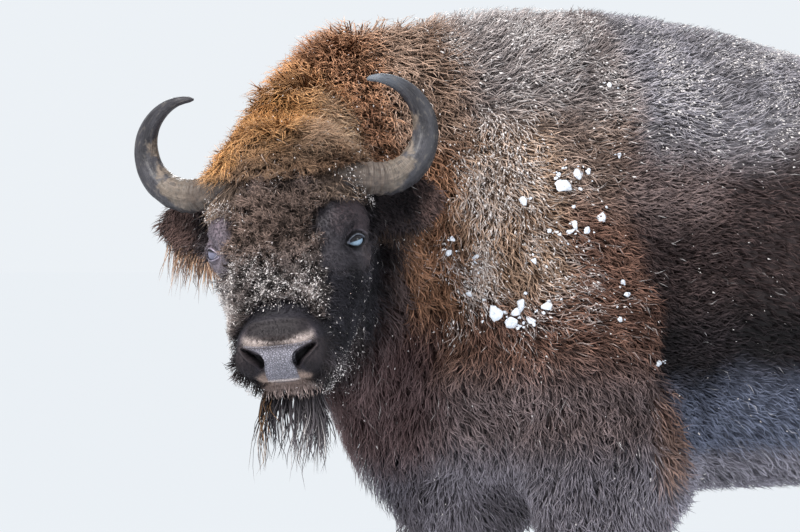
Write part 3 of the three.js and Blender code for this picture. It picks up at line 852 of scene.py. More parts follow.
def sculpt_muzzle(points, normals):
    """Nose pad, nostrils, their wings, lips and the line of the mouth, pushed along the skin's normals."""
    s = Spot(points)
    pad, hole = pad_mask(s, 0.003), nostril_mask(s)
    rim = nostril_mask(s, 0.005) * (1 - hole)
    wing = bell(s.across, 0.074, 0.022) * bell(s.down, 0.24, 0.024) * s.on_head * (s.ahead > 0.06)
    orbit = bell(s.across, 0.138, 0.024) * bell(s.down, -0.034, 0.03) * s.on_head * (s.ahead > -0.12)
    crown = bell(s.across, 0.126, 0.03) * bell(s.down, -0.15, 0.05) * s.on_head * (s.ahead > -0.16)
    cheek = bell(s.across, 0.16, 0.009) * band(s.down, 0.0, 0.07, 0.02) * s.on_head
    swell = muzzle_oval(s, 0.05)
    push = 0.011 * orbit + 0.022 * crown + 0.004 * cheek + 0.0028 * pad + 0.0022 * rim + 0.013 * wing
    push = push + 0.003 * swell * ramp(s.down, 0.26, 0.22)
    groove = bell(s.across, 0, 0.0022) * ramp(s.down, 0.235, 0.25) * pad
    push = push - 0.0012 * groove
    push = push + 0.0024 * bell(muzzle_reach(s), 0.9, 0.045) * fold_share(s)
    push = push - 0.0014 * bell(muzzle_reach(s), 0.8, 0.035) * fold_share(s)
    mouth = mouth_distance(s)
    along = ramp(s.nose, 0.15, 0.2) * s.on_head * ramp(s.dorsal, 0.02, 0.0)
    deep = 0.0085 - 0.0045 * ramp(s.across, 0.045, 0.03)
    push = push + along * (0.0045 * bell(mouth, 0.011, 0.008) - deep * bell(mouth, 0, 0.0024))
    push = push + along * 0.003 * bell(mouth, -0.01, 0.008) * (1 - pad)
    moved = points + push[:, None] * normals
    inwards = unit(-0.86 * AHEAD - (0.5 * s.hand)[:, None] * LEFT)
    return moved + (0.026 * hole)[:, None] * inwards


def skin_surface():
    """Points and faces of the finished skin, as a mesh."""
    points, faces = largest_body(*flesh_surface())
    edges = edges_of(faces)
    s = Spot(points)
    points = relaxed(points, edges, np.full(len(points), 0.55), 12)
    points = relaxed(points, edges, 0.55 * ramp(s.z, 0.86, 1.0) * (1 - ramp(s.on_head, 0.0, 0.6)), 90)
    normals = relaxed(point_normals(points, faces), edges, np.full(len(points), 0.5), 6, keep_size=False)
    points = points - coat_at(points)["depth"][:, None] * normals
    points = relaxed(points, edges, 0.5 * (1 - muzzle_oval(Spot(points), 0.5)), 4, keep_size=False)
    points = relaxed(points, edges, 0.55 * muzzle_oval(Spot(points), 0.8), 16)
    mesh = bpy.data.meshes.new("skin")
    mesh.from_pydata(points, [], faces)
    for wanted in (near_face, near_features, near_lids_and_nostrils, near_lids_and_nostrils):
        finer(mesh, wanted)
        points = mesh_arrays(mesh)[0]
        pairs = read(mesh.edges, "vertices", 2, np.int32)
        place_points(mesh, relaxed(points, pairs, np.where(near_face(points), 0.5, 0.0), 8))
        mesh.update()
    points = sculpt_muzzle(*mesh_arrays(mesh))
    for hand in EYES:
        points = sculpt_eye(points, hand)
    place_points(mesh, points)
    mesh.update()
    return mesh


# ---- Hair ----
SKIN_SEED = 7
PATCH = 0.003  # size of a lock's place on the baking map
STRAND = 0.0013  # width of a strand within a lock


def unwrap(points):
    """Each point's place on a map of the skin's own shape, from 0 to 1.

    Four tiles side by side: the trunk wound round its length, the head round its nose line, the forelegs and
    the hind legs round their uprights. A tile's other direction runs along its axis.
    """
    s = Spot(points)
    around_head = np.arctan2(s.left, s.dorsal + 0.06)
    around_trunk = np.arctan2(s.y - MID_Y, s.z - 1.3)
    u, v = around_trunk / (2 * np.pi) + 0.5, (s.x + 1.25) / 2.6
    tile = np.zeros(len(points))
    on_head = s.on_head > 0.5
    u = np.where(on_head, around_head / (2 * np.pi) + 0.5, u)
    v = np.where(on_head, (s.nose + 0.4) / 0.9, v)
    tile[on_head] = 1
    for number, leg in enumerate(LEGS):
        foot = FEET[leg]
        near = (s.z < LEG_TOP_Z) & (np.abs(s.x - foot[0]) < 0.32) & (np.abs(s.y - foot[1]) < 0.2) & ~on_head
        around = np.arctan2(s.y - foot[1], s.x - foot[0]) / (2 * np.pi) + 0.5
        u = np.where(near, (around + number % 2) / 2, u)
        v = np.where(near, s.z / 0.9, v)
        tile[near] = 2 + number // 2
    return np.stack([(tile + np.clip(u, 0, 1) * 0.98 + 0.01) / 4, np.clip(v, 0, 1) * 0.98 + 0.01], axis=1)


def lock_faces(rings):
    """Triangles of one lock: a closed root, three sides between rings, and a point."""
    faces = [(0, 2, 1)]
    for ring in range(rings - 1):
        for side in range(3):
            a, b = 3 * ring + side, 3 * ring + (side + 1) % 3
            faces += [(a, b, b + 3), (a, b + 3, a + 3)]
    last = 3 * (rings - 1)
    faces += [(last + side, last + (side + 1) % 3, last + 3) for side in range(3)]
    return np.array(faces)


def locks(roots, normals, lie, coat, rng, rings=2, clump=0.5, clump_size=0.02):
    """Points (n, m, 3) of n closed tapered locks, and each point's share of its lock's length.

    A lock leaves its root, climbs to the coat's depth and lies along. At share t of its length its middle is
    root + lie * length * t + normal * depth * (1 - (1 - t)^2.4), swayed by a helix that grows with t and
    drawn by t^1.4 towards the nearest clump's middle. A flat ring of three points narrows along it.
    """
    n = len(roots)
    side = unit(np.cross(normals, lie))
    length = coat["length"] * (0.75 + 0.5 * rng.random(n))
    height = coat["depth"] * (0.8 + 0.32 * rng.random(n)) * (1 - 0.5 * coat["lump"] * (1 - lumps(roots)))
    width = coat["width"] * (0.75 + 0.5 * rng.random(n))
    curl = coat["curl"] * (0.5 + rng.random(n))
    phase = 9 * noise(roots, 0.045, 17) + 1.2 * rng.random(n)
    turns = 0.6 + 0.7 * rng.random(n)
    tip = roots + lie * length[:, None]
    pull = laid_flat(nearest_feature(tip, clump_size, 3) - tip, normals)
    far = np.maximum(np.linalg.norm(pull, axis=1, keepdims=True), 1e-6)
    pull *= np.minimum(1, clump_size * 0.8 / far) * clump
    steps = np.linspace(0, 1, rings + 1) ** (0.9 if rings > 2 else 0.8)
    points = np.empty((n, 3 * rings + 1, 3))
    for k, t in enumerate(steps):
        climb = height * (1 - (1 - t) ** 2.4) - 0.003 * (1 - t)
        swing = 2 * np.pi * turns * t + phase
        sway = side * (curl * t * np.sin(swing))[:, None]
        middle = roots + lie * (length * t)[:, None] + sway + pull * t**1.4
        middle += normals * (climb + 0.6 * curl * t * np.cos(swing))[:, None]
        if k == rings:
            points[:, -1] = middle
            break
        breadth = width * (0.62 + 0.38 * math.sin(math.pi * min(t * 1.5, 1))) * (1 - 0.45 * t)
        for corner, angle in enumerate(np.radians([90, 210, 330])):
            across, up = 0.5 * math.cos(angle) * breadth, 0.22 * math.sin(angle) * breadth
            points[:, 3 * k + corner] = middle + side * across[:, None] + normals * up[:, None]
    share = np.append(np.repeat(steps[:-1], 3), 1.0)
    return points, share


FROST = linear(230, 224, 222)


def lock_colours(coat, roots, share, rng):
    """Lock colours point by point: the zone's two mixed, dark roots that are partly painted shade, painted
    shade in the wool's furrows, rimed tips.
    """
    n = len(roots)
    patch = noise(roots, 0.13, 5) * 0.5 + noise(roots, 0.035, 6) * 0.5
    mix = np.clip(0.5 + 1.6 * (patch - 0.5) + 0.6 * (rng.random(n) - 0.5), 0, 1)[:, None]
    body = coat["dark"] * (1 - mix) + coat["light"] * mix
    # painted shade: the hair in the furrows between the lumps of wool is darkened
    body = body * (1 - 0.75 * coat["lump"] * (1 - lumps(roots)))[:, None]
    # the root's colour is darker: partly the hair's own dark roots, partly painted shade deep in the coat
    root = (coat["dark"] * 0.6 + body * 0.4) * coat["root"][:, None]
    fade = ramp(share, 0.0, 0.7)[None, :, None]
    colour = root[:, None, :] * (1 - fade) + body[:, None, :] * (0.85 + 0.35 * share[None, :, None]) * fade
    rimed = rng.random(n) < 0.6 * rime_share(coat["frost"], roots)
    amount = (rimed * (0.2 + 0.6 * rng.random(n)))[:, None] * ramp(share, 0.35, 0.9)[None, :]
    return colour + amount[..., None] * (FROST - colour)


def lumps(points):
    """1 on the tops of small lumps of wool, 0 in the furrows between them."""
    return ramp(noise(points, 0.017, 51) * 0.6 + noise(points, 0.008, 52) * 0.4, 0.34, 0.62)


def rime_share(frost, roots):
    """How much of the hair is rimed: the zone's frost, gathered in drifts and streaks."""
    drift = noise(roots, 0.08, 8) * 0.5 + noise(roots * [1, 1, 0.5], 0.026, 9) * 0.5
    return frost * np.clip(4.2 * (drift - 0.38), 0, 1.6)


def spread_roots(skin, weights, count, rng):
    """Random places on the skin's faces, each face taken by its weight: points and normals."""
    points, normals, quads = skin
    a, b, c, d = (points[quads[:, i]] for i in range(4))
    area = np.linalg.norm(np.cross(c - a, d - b), axis=1) / 2
    chance = np.cumsum(area * weights)
    if chance[-1] <= 0:
        raise ValueError("no skin for these locks to stand on")
    # evenly stepped picks with a little play keep the cover even
    picks = (np.arange(count) + rng.random(count)) / count * chance[-1]
    face = np.minimum(np.searchsorted(chance, picks), len(quads) - 1)
    u, v = rng.random((2, count, 1))
    corner = quads[face]

    def mixed(values):
        low = values[corner[:, 0]] * (1 - u) + values[corner[:, 1]] * u
        high = values[corner[:, 3]] * (1 - u) + values[corner[:, 2]] * u
        return low * (1 - v) + high * v

    return mixed(points), unit(mixed(normals))


def skin_arrays():
    """The skin's points, normals and faces as quads: triangles repeat a corner, larger faces are fanned."""
    mesh = bpy.data.objects["skin"].data
    points, normals = mesh_arrays(mesh)
    sizes = read(mesh.polygons, "loop_total", kind=np.int32)
    starts = read(mesh.polygons, "loop_start", kind=np.int32)
    corner = mesh_faces(mesh, 1)[:, 0]
    quads = []
    for size in np.unique(sizes):
        first = starts[sizes == size]
        for k in range(1, size - 1, 2):
            quads.append(np.stack([corner[first + step] for step in (0, k, k + 1, min(k + 2, size - 1))], 1))
    return points, normals, np.concatenate(quads)


def lie_at(coat, normals, rng):
    """The hair's direction on the skin: the zone's lie, turned by swirls, by tufts and a little by chance."""
    s = coat["spot"]
    lie = laid_flat(coat["lie"], normals)
    lie[np.linalg.norm(lie, axis=1) < 0.15] += np.array([-0.3, 0, 0])
    lie = unit(laid_flat(lie, normals))
    swirl = (noise(s.points, 0.16, 21) - 0.5) * 1.6 + (noise(s.points, 0.05, 22) - 0.5) * 1.4
    wool = ramp(coat["scatter"], 32, 60)
    tufts = 5.0 * (noise(s.points, 0.01, 23) - 0.5)
    play = (0.9 - 0.5 * wool) * rng.standard_normal(len(normals))
    angle = np.radians(coat["scatter"]) * (2.0 * swirl * (1 - 0.7 * wool) + wool * tufts + play)
    side = np.cross(normals, lie)
    return unit(lie * np.cos(angle)[:, None] + side * np.sin(angle)[:, None])


def rooted(weigh, count, rng):
    """Places for hair, each face of the skin taken by weigh(coat): points, normals and the coat there."""
    skin = skin_arrays()
    roots, normals = spread_roots(skin, weigh(coat_at(centres_of(skin))), count, rng)
    return roots, normals, coat_at(roots)


def coat_piece(name, where, count, material, slot, seed, rings=2, **shape):
    """One piece of the coat: locks over the part of the skin that where(spot) accepts."""

    def weigh(coat):
        return where(coat["spot"]) * coat["density"] / (coat["width"] * coat["length"] ** 0.7)

    rng = np.random.default_rng(seed)
    roots, normals, coat = rooted(weigh, count, rng)
    keep = ~inside_openings(coat["spot"])
    roots, normals = roots[keep], normals[keep]
    coat = {key: (value if key == "spot" else value[keep]) for key, value in coat.items()}
    coat["spot"] = Spot(roots)
    lie = lie_at(coat, normals, rng)
    return hair_object(name, roots, normals, lie, coat, material, slot, rng, rings, **shape)


def repeated(one, count):
    """The faces of many bodies of one kind, from those of the first."""
    return (np.arange(count)[:, None, None] * (one.max() + 1) + one[None]).reshape(-1, 3)


def set_bake_places(piece, roots, places, faces):
    """The baking map: each body's small places beside its root's own."""
    uv = unwrap(roots)[:, None, :] + places[None]
    set_uv(piece.data, "OFBake", uv.reshape(-1, 2)[faces.ravel()])


def hair_object(name, roots, normals, lie, coat, material, slot, rng, rings=2, **shape):
    """Locks as one mesh with their colours and their places on the baking map."""
    points, share = locks(roots, normals, lie, coat, rng, rings, **shape)
    colours = lock_colours(coat, roots, share, rng)
    n, per_lock = points.shape[:2]
    faces = repeated(lock_faces(rings), n)
    piece = new_piece(name, points.reshape(-1, 3), faces, material, slot, colours.reshape(-1, 3))
    corner = np.arange(per_lock) % 3
    place = np.stack([np.where(np.arange(per_lock) == per_lock - 1, 0.5, corner / 2), share], axis=1) * PATCH
    set_bake_places(piece, roots, place, faces)
    across = (corner / 2)[None, :] * (coat["width"] / STRAND)[:, None] + 97 * rng.random((n, 1))
    along = share[None, :] * (coat["length"] / STRAND)[:, None]
    set_uv(piece.data, "Strand", np.stack([across, along], -1).reshape(-1, 2)[faces.ravel()])
    return piece


def inside_openings(s):
    """Roots that would stand in an eye's opening, a nostril or on the nose pad."""
    blocked = (pad_mask(s) > 0.4) | (nostril_mask(s, 0.002) > 0.3)
    for hand in EYES:
        _, d, near = seen_by_eye(s.points, hand)
        blocked |= near & (d < 0.0035)
    return blocked


def rime(name, where, count, material, seed, grain=0.001):
    """Grains of frost on the tips of the hair: closed four-sided crystals, longest along the lie."""

    def weigh(coat):
        s = coat["spot"]
        return where(s) * rime_share(coat["frost"], s.points) * (coat["depth"] > 0.005)

    rng = np.random.default_rng(seed)
    roots, normals, coat = rooted(weigh, count, rng)
    lie = lie_at(coat, normals, rng)
    size = grain * (0.6 + 1.9 * rng.random(count) ** 4)
    shape = rng.random((count, 3))
    stretch = np.stack([1.3 + 2.4 * shape[:, 0] ** 2, 0.8 + 0.5 * shape[:, 1], 0.6 + 0.4 * shape[:, 2]], 1)
    high = coat["depth"] * (0.8 + 0.26 * rng.random(count))
    centre = roots + lie * (coat["length"] * (0.35 + 0.5 * shape[:, 1]))[:, None] + normals * high[:, None]
    axes = np.stack([lie, np.cross(normals, lie), normals], 1) * (size[:, None] * stretch)[:, :, None]
    signs = np.array([[1, -0.3, -0.5], [-0.7, 0.9, -0.4], [-0.6, -0.9, -0.3], [0, 0.1, 1.0]])
    play = 1 + 0.5 * (rng.random((count, 4, 1)) - 0.5)
    points = centre[:, None] + np.einsum("kc,ncd->nkd", signs, axes) * play
    faces = repeated(np.array([[0, 1, 3], [1, 2, 3], [2, 0, 3], [0, 2, 1]]), count)
    piece = new_piece(name, points.reshape(-1, 3), faces, material, "frost")
    set_bake_places(piece, roots, PATCH * np.array([[1, 0.5], [0, 1], [0, 0], [0.4, 0.5]]), faces)


# ---- Materials ----


class NodeTree:
    """Nodes in the making, of a material or the sky, with short ways to add and join them."""

    def __init__(self, owner):
        owner.use_nodes = True
        self.nodes, self.links = owner.node_tree.nodes, owner.node_tree.links

    def set(self, node, values):
        """Sets a node's inputs: a value, or the output of another node."""
        for key, value in values.items():
            socket = node.inputs[key]
            if isinstance(value, bpy.types.NodeSocket):
                self.links.new(value, socket)
            else:
                socket.default_value = value
        return node

    def add(self, kind, settings=None, **inputs):
        """A new node with its settings and inputs, the inputs' names with _ for a blank."""
        node = self.nodes.new(kind)
        for key, value in (settings or {}).items():
            setattr(node, key, value)
        return self.set(node, {key.replace("_", " "): value for key, value in inputs.items()})

    def place(self, scale=(1, 1, 1), uv_map=None):
        """Object coordinates, or those of a UV map, stretched by scale."""
        if uv_map:
            found = self.add("ShaderNodeUVMap", {"uv_map": uv_map}).outputs["UV"]
        else:
            found = self.add("ShaderNodeTexCoord").outputs["Object"]
        return self.add("ShaderNodeMapping", Vector=found, Scale=scale).outputs["Vector"]

    def math(self, operation, first, second):
        """Two numbers made one, each a value or another node's output."""
        node = self.add("ShaderNodeMath", {"operation": operation})
        return self.set(node, {0: first, 1: second}).outputs[0]

    def noise(self, scale, detail=3.0, vector=None):
        """Noise from 0 to 1, on object coordinates unless others are given."""
        vector = vector or self.place()
        return self.add("ShaderNodeTexNoise", Vector=vector, Scale=scale, Detail=detail).outputs["Fac"]

    def ranged(self, value, low, high, to_low, to_high):
        """A value carried from one range to another."""
        limits = {"From Min": low, "From Max": high, "To Min": to_low, "To Max": to_high}
        return self.set(self.add("ShaderNodeMapRange", Value=value), limits).outputs["Result"]

    def mix(self, share, first, second, blend="MIX"):
        """Two colours mixed by share."""
        node = self.add("ShaderNodeMix", {"data_type": "RGBA", "blend_type": blend})
        first, second = ((*value, 1) if isinstance(value, np.ndarray) else value for value in (first, second))
        return self.set(node, {0: share, 6: first, 7: second}).outputs[2]

    def attribute(self, name, output="Color"):
        """A mesh attribute's colour or number."""
        return self.add("ShaderNodeAttribute", {"attribute_name": name}).outputs[output]

    def bump(self, height, distance, strength=1.0, under=None):
        """Bump from a height, in metres, over any earlier bump."""
        inputs = {"Height": height, "Distance": distance, "Strength": strength}
        if under is not None:
            inputs["Normal"] = under
        return self.set(self.add("ShaderNodeBump"), inputs).outputs["Normal"]

    def straight_ray(self):
        """1 for what the camera sees, itself, in gloss or through glass."""
        rays = self.add("ShaderNodeLightPath").outputs
        straight = self.math("MAXIMUM", rays["Is Camera Ray"], rays["Is Glossy Ray"])
        return self.math("MAXIMUM", straight, rays["Is Transmission Ray"])

    def swap(self, share, first, second, output):
        """Sends two shaders, mixed by share, to the output."""
        mixer = self.add("ShaderNodeMixShader")
        self.set(mixer, {0: share, 1: first.outputs[0], 2: second.outputs[0]})
        self.set(self.nodes[output], {"Surface": mixer.outputs[0]})


class Finish(NodeTree):
    """A material with a principled shader."""

    def __init__(self, name, roughness, specular):
        self.material = bpy.data.materials.new(name)
        super().__init__(self.material)
        self.shader = self.nodes["Principled BSDF"]
        self.set(self.shader, {"Roughness": roughness, "Specular IOR Level": specular})

    def done(self, **inputs):
        """The material, with the shader's last inputs joined."""
        self.set(self.shader, {key.replace("_", " "): value for key, value in inputs.items()})
        return self.material


def hair_material():
    """Hair: its own painted colour, streaked into strands, soft and a little shiny along its back."""
    f = Finish("hair", roughness=0.6, specular=0.18)
    streaks = f.noise(1.0, 2.0, f.place((1.0, 0.06, 1), "Strand"))
    colour = f.mix(1.0, f.attribute("Col"), f.ranged(streaks, 0.32, 0.68, 0.5, 1.45), "MULTIPLY")
    return f.done(Base_Color=colour, Normal=f.bump(streaks, 0.0016, 0.7))


def rime_material():
    """Frost on the hair's tips: off-white, grainy and faintly shining."""
    f = Finish("rime", roughness=0.55, specular=0.3)
    grain = f.noise(400.0, 2.0)
    colour = f.mix(f.ranged(grain, 0.3, 0.7, 0.0, 1.0), linear(176, 169, 168), linear(220, 214, 212))
    return f.done(Base_Color=colour, Normal=f.bump(grain, 0.001, 0.4))


def skin_material():
    """Skin: painted colour, cobbled on the nose pad with painted shade in its grooves, fine-pored and faintly
    streaked elsewhere.
    """
    f = Finish("skin", roughness=0.55, specular=0.22)
    pad, wet = f.attribute("Pad", "Fac"), f.attribute("Wet", "Fac")
    cells = f.add("ShaderNodeTexVoronoi", {"feature": "DISTANCE_TO_EDGE"}, Vector=f.place(), Scale=230.0)
    stones = f.ranged(cells.outputs["Distance"], 0.0, 0.22, 0.0, 1.0)
    grain = f.noise(900.0, 3.0)
    fine = f.noise(260.0, 4.0)
    # painted shade: the grooves between the nose pad's cobbles darkened
    dark = f.mix(1.0, f.attribute("Col"), f.ranged(stones, 0.0, 1.0, 0.38, 1.28), "MULTIPLY")
    plain = f.mix(1.0, f.attribute("Col"), f.ranged(fine, 0.3, 0.7, 0.75, 1.2), "MULTIPLY")
    normal = f.bump(grain, 0.0008, 0.5)
    normal = f.bump(f.math("MULTIPLY", stones, pad), 0.0012, 0.9, normal)
    return f.done(Base_Color=f.mix(pad, plain, dark), Normal=normal,
                  Roughness=f.ranged(wet, 0.0, 1.0, 0.62, 0.26))


def horn_material():
    """Horn sheath: painted colour with lengthwise fibres, flakes and a dull polish that rises to the tip."""
    f = Finish("horn_sheath", roughness=0.5, specular=0.3)
    fibre = f.noise(1.0, 5.0, f.place((70, 6, 1), "Along"))
    flake = f.noise(1.0, 4.0, f.place((16, 22, 1), "Along"))
    ring = f.noise(1.0, 3.0, f.place((3, 60, 1), "Along"))
    colour = f.mix(1.0, f.attribute("Col"), f.ranged(fibre, 0.3, 0.7, 0.72, 1.25), "MULTIPLY")
    colour = f.mix(f.ranged(flake, 0.56, 0.64, 0.0, 0.35), colour, linear(88, 83, 78))
    colour = f.mix(f.ranged(flake, 0.42, 0.36, 0.0, 0.5), colour, linear(26, 25, 28))
    normal = f.bump(flake, 0.003, 0.5, f.bump(fibre, 0.0016, 0.5))
    normal = f.bump(f.math("MULTIPLY", ring, f.attribute("Rough", "Fac")), 0.008, 0.8, normal)
    return f.done(Base_Color=colour, Normal=normal, Roughness=f.ranged(fibre, 0.3, 0.7, 0.34, 0.6))


def hoof_material():
    """Hoof horn: slate brown, ringed round and streaked down, scuffed pale at the ground."""
    f = Finish("hoof_horn", roughness=0.5, specular=0.45)
    rings = f.noise(1.0, 3.0, f.place((14, 14, 190)))
    streaks = f.noise(1.0, 4.0, f.place((240, 240, 16)))
    colour = f.mix(f.ranged(rings, 0.35, 0.65, 0.0, 1.0), linear(44, 39, 39), linear(84, 76, 72))
    colour = f.mix(1.0, colour, f.ranged(streaks, 0.3, 0.7, 0.7, 1.25), "MULTIPLY")
    height = f.add("ShaderNodeSeparateXYZ", Vector=f.place()).outputs["Z"]
    colour = f.mix(f.ranged(height, 0.018, 0.0, 0.0, 0.5), colour, linear(128, 118, 108))
    normal = f.bump(streaks, 0.0012, 0.5, f.bump(rings, 0.002, 0.7))
    return f.done(Base_Color=colour, Normal=normal, Roughness=f.ranged(rings, 0.3, 0.7, 0.4, 0.62))


def eye_material():
    """Eyeball under its cornea: painted iris and pupil with fine radial fibres, wet."""
    f = Finish("eyeball", roughness=0.12, specular=0.22)
    fibres = f.noise(900.0, 2.0)
    colour = f.mix(1.0, f.attribute("Col"), f.ranged(fibres, 0.3, 0.7, 0.8, 1.2), "MULTIPLY")
    return f.done(Base_Color=colour, Coat_Weight=0.18, Coat_Roughness=0.03)


def snow_material():
    """Packed snow: white, grainy, with a soft glitter of fine bumps."""
    f = Finish("snow", roughness=0.5, specular=0.35)
    grain, lumps = f.noise(700.0, 4.0), f.noise(120.0, 3.0)
    colour = f.mix(f.ranged(lumps, 0.3, 0.7, 0.0, 1.0), linear(178, 184, 196), linear(212, 215, 220))
    return f.done(Base_Color=colour, Normal=f.bump(grain, 0.0015, 0.7, f.bump(lumps, 0.006, 0.6)))


# ---- Colours painted on the skin ----


def face_layers(s):
    """The paint of the face without its eyes: share and colour of each layer, and the nose pad's share."""
    front = ramp(s.ahead, 0.06, 0.1) * s.on_head
    fold = bell(muzzle_reach(s), 0.9, 0.03) * fold_share(s)
    crease = bell(s.across, 0.16, 0.005) * band(s.down, 0.0, 0.07, 0.02) * s.on_head
    flank = oval(s.across, s.down, (0.088, 0.24), (0.034, 0.04)) * (1 - pad_mask(s, 0.002))
    dark = muzzle_oval(s, 0.02) * band(s.down, 0.16, 0.194, 0.01) * ramp(s.across, 0.076, 0.056)
    layers = [
        (0.75 * front * muzzle_oval(s, 0.02) * ramp(s.down, 0.15, 0.17), (40, 36, 43)),
        # painted highlight: a pale line along the raised fold at the muzzle's upper edge
        (0.35 * fold, (100, 90, 94)),
        (0.7 * front * flank, (40, 33, 34)),
        (0.8 * front * dark, (34, 29, 31)),
        (0.5 * crease, (84, 74, 74)),
    ]
    mottle = 0.6 + 0.8 * noise(s.points, 0.006, 64)
    # the bare brows: the left one painted darker and the right one lighter, in part painted shade and light
    # on the face's two sides
    for out, shade in ((0.146, (58, 48, 51)), (-0.136, (104, 92, 100))):
        over = oval(s.left, s.down, (out, -0.04), (0.03, 0.034), 0.5) * s.on_head
        layers.append((np.minimum(0.8 * mottle, 1) * over, shade))
    pad, hole = pad_mask(s, 0.0012), nostril_mask(s)
    edge = pad * (1 - pad_mask(s, 0.0042)) * ramp(s.down, 0.246, 0.236)
    lip = bell(mouth_distance(s), 0, 0.0025) * ramp(s.across, 0.028, 0.045)
    layers += [
        (pad, (117, 115, 124)),
        (0.55 * pad * ramp(s.down, 0.222, 0.207), (70, 66, 73)),
        (0.5 * edge, (150, 146, 154)),
        (0.85 * front * bell(s.down, PAD_FOOT, 0.0022) * ramp(s.across, 0.05, 0.034), (196, 182, 178)),
        (0.75 * cream_band(s) * front * (1 - pad), (184, 170, 166)),
        (0.6 * tan_corner(s) * front * (1 - pad), (160, 138, 126)),
        # painted shade: the nostrils' hollows near black, and a darker band round their lower edge
        (hole, (13, 11, 14)),
        (0.6 * nostril_mask(s, 0.006) * (1 - hole) * ramp(s.down, 0.226, 0.244), (34, 29, 33)),
        # a dark line along the mouth's cut: partly the dark lips, partly painted shade in the cut
        (front * lip, (26, 20, 21)),
    ]
    return layers, pad


def eye_layers(points, hand):
    """The paint round an eye, each layer's share and colour, and the share of the lid's moist rim."""
    local, d, near = seen_by_eye(points, hand)
    over = near * ramp(local[:, 1], 0.002, 0.006)
    rim = near * ramp(d, 0.0036, 0.0024)
    layers = [
        (near * ramp(d, 0.012, 0.004), (34, 31, 35) if hand > 0 else (86, 78, 86)),
        # painted shade: a dark band in the crease above the upper lid
        (0.75 * over * bell(d, 0.0078, 0.0014), (16, 14, 17) if hand > 0 else (44, 38, 43)),
        # painted highlight: a paler band on the fold above that crease
        (0.5 * over * bell(d, 0.0112, 0.0016), (84, 80, 88) if hand > 0 else (128, 118, 128)),
    ]
    if hand > 0:
        low = ramp(local[:, 1], 0.001, -0.003)
        # painted highlight: the left eye's moist lid rim in a pale blue grey
        layers += [(rim, (100, 104, 113)), (near * ramp(d, 0.0064, 0.0048) * low, (10, 9, 13))]
    else:
        layers += [(0.6 * over * bell(d, 0.015, 0.0012), (66, 54, 58)), (rim, (150, 141, 156))]
    ring = 0.0 if hand > 0 else 0.001
    return layers + [(near * ramp(d, 0.0007 + ring, -0.0002 + ring), (10, 9, 13))], rim


def paint_skin(mesh):
    """Writes the skin's colour, its nose pad and its moist places from the coat's own layout."""
    points, _ = mesh_arrays(mesh)
    coat = coat_at(points)
    patch = noise(points, 0.03, 5)[:, None]
    # painted shade: under the hair the skin is a darker copy of the coat's dark colour
    colour = coat["dark"] * 0.75 + (coat["light"] - coat["dark"]) * 0.3 * patch
    bare = np.clip(ramp(coat["depth"], 0.006, 0.003), 0, 1)[:, None]
    colour = colour * (1 - bare) + bare * (coat["dark"] * 0.7 + coat["light"] * 0.3)
    layers, pad = face_layers(coat["spot"])
    wet = 0.35 * pad
    for hand in EYES:
        around, rim = eye_layers(points, hand)
        layers += around
        wet = np.maximum(wet, rim)
    colour = painted(colour, *((share, linear(*shade)) for share, shade in layers))
    set_attribute(mesh, "Col", colour, "FLOAT_COLOR")
    set_attribute(mesh, "Pad", pad)
    set_attribute(mesh, "Wet", wet)


# ---- Eyes ----


def eyeball(hand):
    """A sphere with a slight bulge of cornea: broad pupil, dark iris and edge, a bluish white, and a painted
    reflection over the lower iris.
    """
    centre, axes = eye_frame(hand)
    rows, columns = 48, 72
    polar = np.linspace(0.001, math.pi - 0.001, rows)[:, None]
    radius = EYE_RADIUS * (1 + 0.05 * bell(polar, 0, 0.5))
    local = lathed(radius * np.sin(polar), radius * np.cos(polar), columns)
    points = local @ axes.T + centre
    x, y = local[:, 0] / EYE_RADIUS, local[:, 1] / EYE_RADIUS
    out = np.hypot(x, y) + 2.0 * (local[:, 2] < 0)
    pupil = np.hypot(x / 0.36, (y - 0.02) / 0.17)
    colour = np.tile(linear(128, 124, 136), (len(points), 1))
    fibre = 0.5 + 0.5 * np.sin(np.arctan2(y, x) * 46 + 5 * noise(local, 0.004, 3))
    iris = between((18, 15, 18), (44, 42, 52), 0.55 * fibre * ramp(out, 0.2, 0.6))
    # painted reflection: a pale crescent over the iris's lower part, with its colour and the heights where it
    # fades in and out, for each eye
    light, low, high = ((132, 154, 174), -0.1, 0.02) if hand > 0 else ((104, 104, 122), 0.14, 0.34)
    painted_reflection = 0.8 * (ramp(y, high, low) * ramp(out, 0.98, 0.8))
    colour = painted(colour, (ramp(out, 0.74, 0.68), iris), (band(out, 0.66, 0.72, 0.04), linear(20, 17, 22)),
                     (ramp(pupil, 1.1, 0.9), linear(8, 8, 12)), (painted_reflection, linear(*light)))
    return points, grid_faces(rows, columns)[:, ::hand], colour


def lathed(radius, height, columns):
    """Points of a body turned round the third axis, from each row's radius and height."""
    turn_ = circle(columns)[None, :]
    return np.stack([radius * np.cos(turn_), radius * np.sin(turn_), height + 0 * turn_], -1).reshape(-1, 3)


def round_sections(values, rows):
    """Values round one section, for every point of a closed grid, with 0 in the middles of its ends."""
    return np.append(np.tile(values, rows), [0, 0])


def closed_grid(points, rows, columns):
    """A tube's grid with both end rings closed to their middles: points and triangles that face outwards."""
    quads = grid_faces(rows, columns)
    faces = np.concatenate([quads[:, [0, 1, 2]], quads[:, [0, 2, 3]]])
    ends = np.stack([points[:columns].mean(0), points[-columns:].mean(0)])
    ring = np.arange(columns)
    step = (ring + 1) % columns
    start, finish = len(points), len(points) + 1
    low = np.stack([np.full(columns, start), step, ring], 1)
    high = np.stack([np.full(columns, finish), ring + (rows - 1) * columns, step + (rows - 1) * columns], 1)
    points = np.concatenate([points, ends])
    return points, outwards(points, np.concatenate([faces, low, high]))


